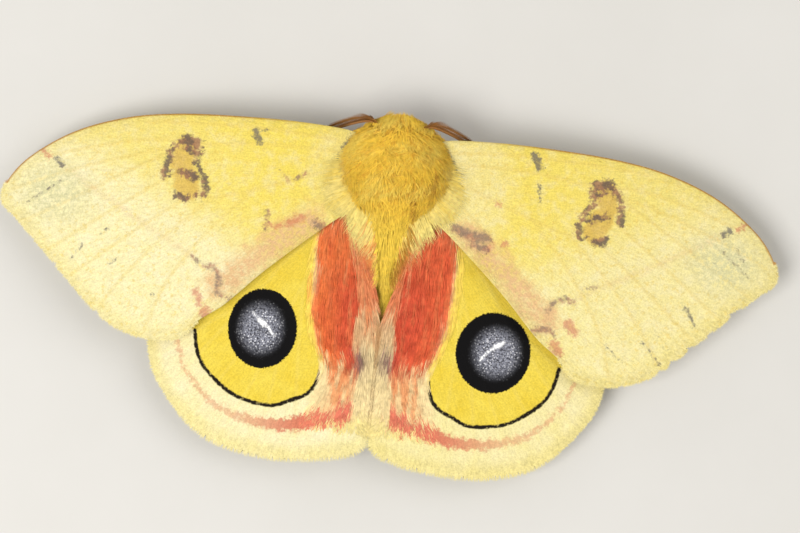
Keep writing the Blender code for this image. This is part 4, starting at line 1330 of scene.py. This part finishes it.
def long_hair(rng, count, side):
    """The spines of the long inner hair, which keeps to its lane down the wing, and its lane."""
    y, x = rng.uniform(-8.3, 11.0, count), rng.uniform(0.05, 7.0, count)
    lane = lane_of(x, y, side)
    keep = rng.uniform(0, 1, count) < np.interp(y, (-8.3, -5.5), (0.15, 1))
    keep &= (lane > -1.05) & (lane < 1.06)
    y, lane = y[keep], lane[keep]
    long = np.interp(y, (-8.3, -7, -5, -1, 8, 10.9), (0.5, 0.8, 1.4, 2.3, 2.6, 2.0))
    long *= rng.uniform(0.7, 1.15, len(y))
    rise = np.interp(y, (-8.3, -3, 2, 9, 10.9), (0.05, 0.25, 0.38, 0.42, 0.45))
    rise *= rng.uniform(0.4, 1.3, len(y))
    rise *= np.interp(lane, (-1, 0, 0.75, 1.06), (0.8, 1, 0.8, 0.2))
    bunch = wavy(np.stack([lane * 4, y * 0.6], -1), 1.1, 21)
    sway = rng.normal(0, 0.05, len(y)) + 0.05 * bunch
    sway -= np.interp(y, (0, 2, 3.5, 6), (0.8, 0.2, 0.1, 0.4)) * rising(-lane, 0.2, 1.0)
    rise = rise * (1 + 0.25 * bunch)
    spine = []
    for step in (0, 0.5, 1):
        at_y = y - long * step
        at_x = np.maximum(lane_x(np.clip(lane + sway * step, -1.4, 1.3), at_y, side), -0.12)
        up = WING_THICK / 2 - 0.03 + rise * (1 - (1 - step) ** 2)
        spine.append(np.stack([at_x, at_y, hindwing_height(np.maximum(at_x, 0.1), at_y) + up], -1))
    return np.array(spine), lane


def make_hindwings():
    material = hindwing_material()
    whole = hindwing_outline()
    for side, word in SIDES:
        rng = np.random.default_rng(80 + side)
        outline = worn(whole, (20.0, -2.0), (1.5, -10.1), 0.1, (), 22 + side)
        points, triangles = wing_shape(outline, HINDWING_VEINS, hindwing_height)
        wing = add_piece(f"hindwing_{word}.plate", mirrored(points, side), turned(triangles, side),
        material)
        face = np.repeat((1, -1), len(points) // 2)
        numbers = hindwing_numbers(points[:, :2], side, outline, face)
        put_numbers(wing, {**numbers, "shade": np.ones(len(points))})
        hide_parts(f"hindwing_{word}")
        margin = ((20.1, -1.0), (0.12, 0.6))
        wing_coat(f"hindwing_{word}.fur", side, outline, HINDWING_HINGE, margin, hindwing_height,
                  WING_FUR, hindwing_numbers, material, 90 + side)

        spine, lane = long_hair(rng, LONG_HAIRS, side)
        points, triangles = tufts(spine, upward(len(lane)), rng.uniform(0.06, 0.1, len(lane)))
        hair = add_piece(f"hindwing_{word}.hair", mirrored(points, side), turned(triangles, side),
        HAIR)
        seen = spine[1][:, :2] + rng.normal(0, 1, (len(lane), 2)) * (0.08, 0.35)
        tint, _ = hair_tint(seen[:, 0], seen[:, 1], side)
        # Painted shade: each long hair is darker at its root and lighter at its tip, times a random
        # tone.
        shade = rng.uniform(0.92, 1.08, (len(lane), 1)) * (0.9, 0.9, 0.9, 0.99, 0.99, 0.99, 1.05)
        put_numbers(hair, {"tint": np.repeat(tint, HAIR_CORNERS, 0), "shade": shade.ravel()})
        put_bake_map(hair, spine[0][:, :2] / WING_MAP + (0.01, 0.4), HAIR_CORNERS)
        softened(hair, upward(1), 0.7)


HAIR = hair_material("long_hair")
make_hindwings()


# Body coat
# A deep woolly coat of fine hair. It runs forward over the face from a parting between
# the feelers, lies tousled over the thorax, and flat down the abdomen.
PARTING, FACE_FROM = 18.25, 17.5
# The third colour here is the painted shade that the coat's hair turns to at its roots.
GOLD, OCHRE, RUST_ROOT_SHADE = (248, 206, 68), (220, 160, 46), (212, 140, 40)
STRAW, CREAM, TAN = (248, 222, 104), (247, 232, 156), (226, 174, 98)
# Each patch is its name, hairs, Y range, length, width, how high the tips stand, how tousled.
COAT = (
    ("head", 18500, (16.2, 18.9), 1.1, 0.072, 0.34, 0.4),
    ("thorax", 35000, (10.3, 17.0), 1.35, 0.08, 0.5, 0.55),
    ("abdomen", 15500, (0.2, 10.7), 1.7, 0.08, 0.42, 0.16),
)
BROWN_EDGE = (
    (((1.6, 12.6), (1.85, 11.2), (1.9, 9.85), (1.45, 8.2), (0.98, 6.7), (0.6, 5.0)), 0.2),
    (((-0.5, 4.2), (-0.3, 2.4)), 0.14), (((3.75, 14.3), (3.5, 13.3), (3.2, 12.4)), 0.17),
)
SHOULDER_HAIRS, FLANK_HAIRS = 4400, 2500
FACE_HAIRS = 14500
# How far forward and how far up the face's hair runs from roots at each height on the head.
FACE_FALL = ((3.0, -0.9, -0.5), (3.7, 0.0, -1.0), (5.0, 0.3, -1.0), (5.8, 0.8, -0.7),
(6.5, 1.0, -0.3))
PALP = ((0.3, 18.9, 3.75), (0.34, 19.3, 3.6), (0.38, 19.6, 3.35), (0.4, 19.8, 3.1))
PALP_HAIRS = 420
SHOULDER_STREAK = ((((3.9, 17.5), (4.4, 16.7), (5.2, 15.3)), 0.18),)


def coat_tint(points, angle, rng):
    """Golden on top with ochre flecks, yellower down the abdomen, and tan underneath."""
    y = points[:, 1]
    small, broad = 0.5 + 0.5 * wavy(points, 0.8, 31), 0.5 + 0.5 * wavy(points, 3.0, 33)
    tint = plain(GOLD, len(y))
    tint = blended(tint, rising(broad + rng.normal(0, 0.15, len(y)), 0.5, 0.95) * 0.6, STRAW)
    fleck = rising(small + rng.normal(0, 0.22, len(y)), 0.6, 1.0)
    tint = blended(tint, fleck * 0.7 * rising(y, 7, 11), OCHRE)
    tint = blended(tint, (1 - rising(y, 8.5, 12.0)) * 0.8, (250, 217, 80))
    flank = rising(np.abs(angle), 50, 80) * rising(y, 9.8, 11.0) * (1 - rising(y, 14.0, 16.0))
    tint = blended(tint, flank * 0.7, CREAM)
    spots = points[:, :2] + rng.normal(0, 0.08, (len(y), 2))
    edge = rising(-marks(spots, BROWN_EDGE), -0.12, 0.12)
    tint = blended(tint, edge * (0.45 + 0.45 * small), (170, 112, 34))
    tint = blended(tint, rising(np.abs(angle), 95, 125), TAN)
    return tint


def face_tint(points, height, angle, rng):
    """The face is golden above and tan from the eyes down."""
    tint = coat_tint(points, angle * 0.4, rng)
    lower = 1 - rising(height + rng.normal(0, 0.25, len(height)), 3.4, 5.4)
    return blended(tint, lower, (206, 146, 76))


def colour_skin():
    """The skin carries the same markings as the coat on it."""
    x, y, z = SKIN_POINTS.T
    wide, top, bottom = form_at(BODY_FORM, y)
    angle = np.degrees(np.arctan2(x / wide, (2 * z - top - bottom) / (top - bottom)))
    rng = np.random.default_rng(9)
    body, face = coat_tint(SKIN_POINTS, angle, rng), face_tint(SKIN_POINTS, z, angle, rng)
    put_numbers(SKIN, {"tint": np.where(y[:, None] > PARTING, face, body)})


def coat_spines(y, angle, heading, length, rise, full, curl):
    """Spines of tufts from their roots in the skin out to the form that their tips keep to."""
    spine = []
    radius = np.maximum(form_at(BODY_FORM, y)[0], 0.8)
    for step in (0, 0.5, 1):
        lifted = 1 - (1 - step) ** 2
        at_y = y - np.cos(heading) * length * step
        across = np.sin(heading) * length * step + curl * math.sin(math.pi * step)
        at_angle = angle + np.degrees(across / radius)
        skin, _ = body_at(BODY_FORM, at_y, at_angle)
        cover, out = body_at(HAIR_FORM, at_y, at_angle)
        up = (rise * lifted - SKIN_DEPTH)[:, None]
        spine.append(skin + (cover - skin) * (lifted * full)[:, None] + out * up)
    return np.array(spine)


def add_coat(name, spine, out, wide, tint, roots, rng, root_shade_colour=RUST_ROOT_SHADE, root_shade_share=0.5):
    """One patch of the coat as a piece, whose tufts are painted darker and another colour towards
    their roots, as painted shade deep in the coat.
    """
    points, triangles = tufts(spine, out, wide)
    coat = add_piece(name, points, triangles, HAIR)
    # Painted shade: each tuft is darker at its root ring and lighter at its tip, times a random
    # tone from tuft to tuft.
    shade = rng.uniform(0.9, 1.08, (len(wide), 1)) * (0.8, 0.8, 0.8, 0.97, 0.97, 0.97, 1.06)
    # Painted shade: towards the roots the tint is also mixed with a darker root colour.
    low = (np.array((1.0, 1.0, 1.0, 0.45, 0.45, 0.45, 0.0)) * root_shade_share)[None, :, None]
    tint = tint[:, None] * (1 - low) + np.array(linear(*root_shade_colour)) * low
    put_numbers(coat, {"tint": tint.reshape(-1, 3), "shade": shade.ravel()})
    put_bake_map(coat, roots, HAIR_CORNERS)
    softened(coat, np.repeat(out, HAIR_CORNERS, 0), 0.7)


def skin_roots(y, angle):
    """Where roots lie on the unwrap of the body's skin."""
    low, high = BODY_FORM[0][0], BODY_FORM[-1][0]
    return np.stack([angle / 360 + 0.5, (y - low) / (high - low)], -1)


def make_coat():
    for patch, count, (first, last), long, wide, stand, tousle in COAT:
        rng = np.random.default_rng(len(patch) * 7)
        y = rng.uniform(first, last, count * 3)
        girth = form_at(BODY_FORM, y)[0]
        y = y[rng.uniform(0, 4.0, count * 3) < girth][:count]
        angle = rng.uniform(-180, 180, len(y))
        crown = (y < FACE_FROM) | (np.abs(angle) < 84)
        y, angle = y[crown], angle[crown]
        root, out = body_at(BODY_FORM, y, angle)
        bunch, drift = wavy(root, 1.0, 51), wavy(root, 0.9, 53)
        forward = y + rng.normal(0, 0.5, len(y)) > PARTING
        fan = np.where(np.abs(angle) < 100, np.radians(angle) * 0.22, 0)
        fan = fan * np.where(forward, -0.3, 1)
        heading = np.where(forward, math.pi, 0) + fan + tousle * drift
        heading = heading + rng.normal(0, tousle * 0.6, len(y))
        length = long * (1 + 0.2 * bunch) * rng.uniform(0.7, 1.15, len(y))
        under = rising(np.abs(angle), 80, 125)
        rise = stand * (1 + 0.25 * bunch) * rng.uniform(0.3, 1.2, len(y)) * (1 - 0.3 * under)
        full = 1 - 0.6 * rising(np.abs(angle), 90, 112)
        if patch == "abdomen":
            length = length * np.interp(y, (0, 10), (0.55, 1.15))
            rise = rise * np.interp(y, (0, 10), (0.4, 1.1))
        spine = coat_spines(y, angle, heading, length, rise, full,
        rng.normal(0, 0.12 * tousle, len(y)))
        tint = coat_tint(spine[2], angle, rng)
        roots = skin_roots(y, angle)
        halves = (("", np.full(len(y), True)),)
        if patch == "thorax":
            halves = ((".right", angle >= 0), (".left", angle < 0))
        for word, part in halves:
            width = wide * rng.uniform(0.8, 1.25, part.sum())
            add_coat(f"coat_{patch}{word}", spine[:, part], out[part], width, tint[part],
            roots[part], rng)


def make_face():
    """Hair that falls over the brow and hangs down the face, clear of the eyes, and the palps."""
    rng = np.random.default_rng(28)
    y = rng.uniform(FACE_FROM, BODY_FORM[-1][0], FACE_HAIRS)
    angle = rng.uniform(-180, 180, FACE_HAIRS)
    root, _ = body_at(BODY_FORM, y, angle)
    side = np.where(angle > 0, 1, -1)
    low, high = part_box("eye_right")
    eye, eye_radius = (low + high) / 2 / MM, (high.z - low.z) / 2 / MM
    eye = np.stack([eye.x * side, 0 * y + eye.y + EYESPOT_LINE, 0 * y + eye.z], -1)
    gap = np.linalg.norm(root - eye, axis=1) - eye_radius
    keep = (gap > 0.04) & ((np.abs(angle) > 60) | (y > 18.0))
    y, angle, root, eye, gap = y[keep], angle[keep], root[keep], eye[keep], gap[keep]
    ahead = body_at(BODY_FORM, y + 0.04, angle)[0] - body_at(BODY_FORM, y - 0.04, angle)[0]
    around = body_at(BODY_FORM, y, angle + 2)[0] - body_at(BODY_FORM, y, angle - 2)[0]
    out = unit(np.cross(around, ahead))
    heights, forward, up = np.array(FACE_FALL).T
    fall = [np.interp(root[:, 2], heights, share) for share in (forward, up)]
    run = np.stack([root[:, 0] * 0.3, *fall], -1)
    run += 0.22 * np.stack([wavy(root, 0.7, seed) for seed in (61, 63, 65)], -1)
    run += rng.normal(0, 0.16, run.shape)
    towards = unit(eye - root)
    near = 1 - rising(gap, 0.1, 0.9)
    run -= towards * (np.maximum((run * towards).sum(1), 0) * near)[:, None]
    run = unit(run - out * (run * out).sum(1)[:, None])
    length = 0.85 * rng.uniform(0.7, 1.2, len(y)) * (1 - 0.45 * near)
    rise = np.interp(root[:, 2], (3.2, 4.2, 5.4, 6.5), (0.22, 0.45, 0.42, 0.3))
    rise *= rng.uniform(0.3, 1.15, len(y))
    rise *= 1 - 0.7 * near
    spine = []
    for reach, lift in ((0, 0), (0.42, 0.75), (1, 1)):
        above = (rise * lift - SKIN_DEPTH * (1 - lift))[:, None]
        at = root + run * (length * reach)[:, None] + out * above
        clear = np.linalg.norm(at - eye, axis=1)[:, None]
        spine.append(eye + (at - eye) / clear * np.maximum(clear, eye_radius + 0.03))
    tint = face_tint(spine[2], root[:, 2], angle, rng)
    wide = 0.055 * rng.uniform(0.8, 1.25, len(y))
    add_coat("coat_face", np.array(spine), out, wide, tint, skin_roots(y, angle), rng)

    path = smooth_path(PALP, 3)
    share, turn = rng.uniform(0, 1, PALP_HAIRS) ** 0.8, rng.uniform(0, 360, PALP_HAIRS)
    radii = np.interp(np.linspace(0, 1, len(path)), (0, 0.6, 1), (0.2, 0.17, 0.07))
    root, out, along = on_tube(path, radii, share, turn)
    length = (0.3 * rng.uniform(0.7, 1.2, PALP_HAIRS))[:, None]
    spine = [root - out * 0.05 + (along + out * 0.3 * step) * length * step for step in (0, 0.5, 1)]
    spine = np.array(spine)
    for way, word in SIDES:
        tint = plain((186, 124, 66), PALP_HAIRS)
        wide, flip = rng.uniform(0.04, 0.06, PALP_HAIRS), np.array((way, 1, 1))
        add_coat(f"coat_palp.{word}", spine * flip, out * flip, wide, tint,
        np.stack([turn / 360, share], -1), rng)


def draped(root, slant, long, lift, over, height, wing_from):
    """Hair that leaves the body at a slant in degrees and comes to rest a little over a wing."""
    slant = np.radians(slant)
    way = np.stack([np.cos(slant), -np.sin(slant), 0 * slant], -1)
    spine = []
    for step in (0, 0.5, 1):
        at = root + way * (long * step)[:, None]
        above = height(np.maximum(at[:, 0], wing_from), at[:, 1]) + WING_THICK / 2 + over
        at[:, 2] = root[:, 2] * (1 - step) + above * step
        at[:, 2] += lift * math.sin(math.pi * step) - 0.08 * (1 - step)
        spine.append(at)
    return np.array(spine)


def make_shoulders():
    """Pale hair from the body's sides, out over the roots of the forewings and the hindwings."""
    for side, word in SIDES:
        rng = np.random.default_rng(110 + side)
        y = 12.0 + 4.9 * rng.uniform(0, 1, SHOULDER_HAIRS) ** 1.2
        angle = rng.uniform(42, 78, SHOULDER_HAIRS)
        root, _ = body_at(BODY_FORM, y, angle)
        slant = np.interp(y, (12.0, 14.0, 16.9), (42, 38, 24)) + rng.normal(0, 13, len(y))
        long = np.interp(y, (12.0, 13.0, 14.5, 16.9), (2.0, 2.8, 3.0, 2.1))
        long *= rng.uniform(0.2, 1.2, len(y))
        lift, over = rng.uniform(0.02, 0.16, len(y)), rng.uniform(0.0, 0.07, len(y))
        spine = draped(root, slant, long, lift, over, forewing_height, WING_ROOT) * (side, 1, 1)

        seen = spine[1][:, :2] * (side, 1) + rng.normal(0, 0.12, (len(y), 2))
        tint = plain((242, 224, 140), len(y))
        tint = blended(tint, rising(seen[:, 1], 13.0, 15.5), (242, 220, 122))
        bunch = 0.5 + 0.5 * wavy(seen, 1.6, 71) + rng.normal(0, 0.2, len(y))
        tint = blended(tint, rising(bunch, 0.5, 1.0) * 0.7, (242, 212, 98))
        # Painted light: the right side's shoulder hair is painted 15 percent brighter than the
        # left's.
        tint *= 1.15 if side > 0 else 1
        streak = rising(-marks(seen, SHOULDER_STREAK), -0.15, 0.1)
        tint = blended(tint, streak * 0.8, (136, 124, 104))
        out = np.array([(0.25 * side, 0.0, 0.97)] * len(y))
        roots = skin_roots(y, angle * side)
        wide = rng.uniform(0.045, 0.07, len(y))
        add_coat(f"coat_shoulder.{word}", spine, out, wide, tint, roots, rng, GOLD, 0.8)

        y, angle = rng.uniform(5.2, 12.2, FLANK_HAIRS), rng.uniform(18, 62, FLANK_HAIRS)
        root, _ = body_at(BODY_FORM, y, angle)
        slant = 90 - rng.normal(24, 8, len(y))
        long = np.interp(y, (5.2, 7.0, 10.0, 12.2), (0.9, 1.5, 2.2, 2.6))
        long *= rng.uniform(0.4, 1.2, len(y))
        over = rng.uniform(0.25, 0.55, len(y))
        spine = draped(root, slant, long, 0.25, over, hindwing_height, 0) * (side, 1, 1)

        tint = plain((250, 217, 80), len(y))
        clear = np.abs(spine[2][:, 0])
        clear -= np.interp(spine[2][:, 1], (3, 5, 7.4, 8.4, 11), (0.5, 0.8, 1.15, 1.6, 2.6))
        clear = rising(clear + rng.normal(0, 0.2, len(y)), -0.1, 0.5)
        tint = blended(tint, clear, (246, 228, 140))
        low_down = 1 - rising(spine[2][:, 1] + rng.normal(0, 0.5, len(y)), 6.8, 8.2)
        tint = blended(tint, clear * low_down, (224, 118, 72))
        seen = spine[1][:, :2] + rng.normal(0, 0.08, (len(y), 2))
        tint = blended(tint, rising(-marks(seen, BROWN_EDGE), -0.1, 0.1) * 0.9, (166, 106, 34))
        roots = skin_roots(y, angle * side)
        out = np.array([(0.2 * side, 0.0, 0.98)] * len(y))
        wide = rng.uniform(0.06, 0.09, len(y))
        add_coat(f"coat_flank.{word}", spine, out, wide, tint, roots, rng, GOLD, 0.6)


colour_skin()
make_coat()
make_face()
make_shoulders()
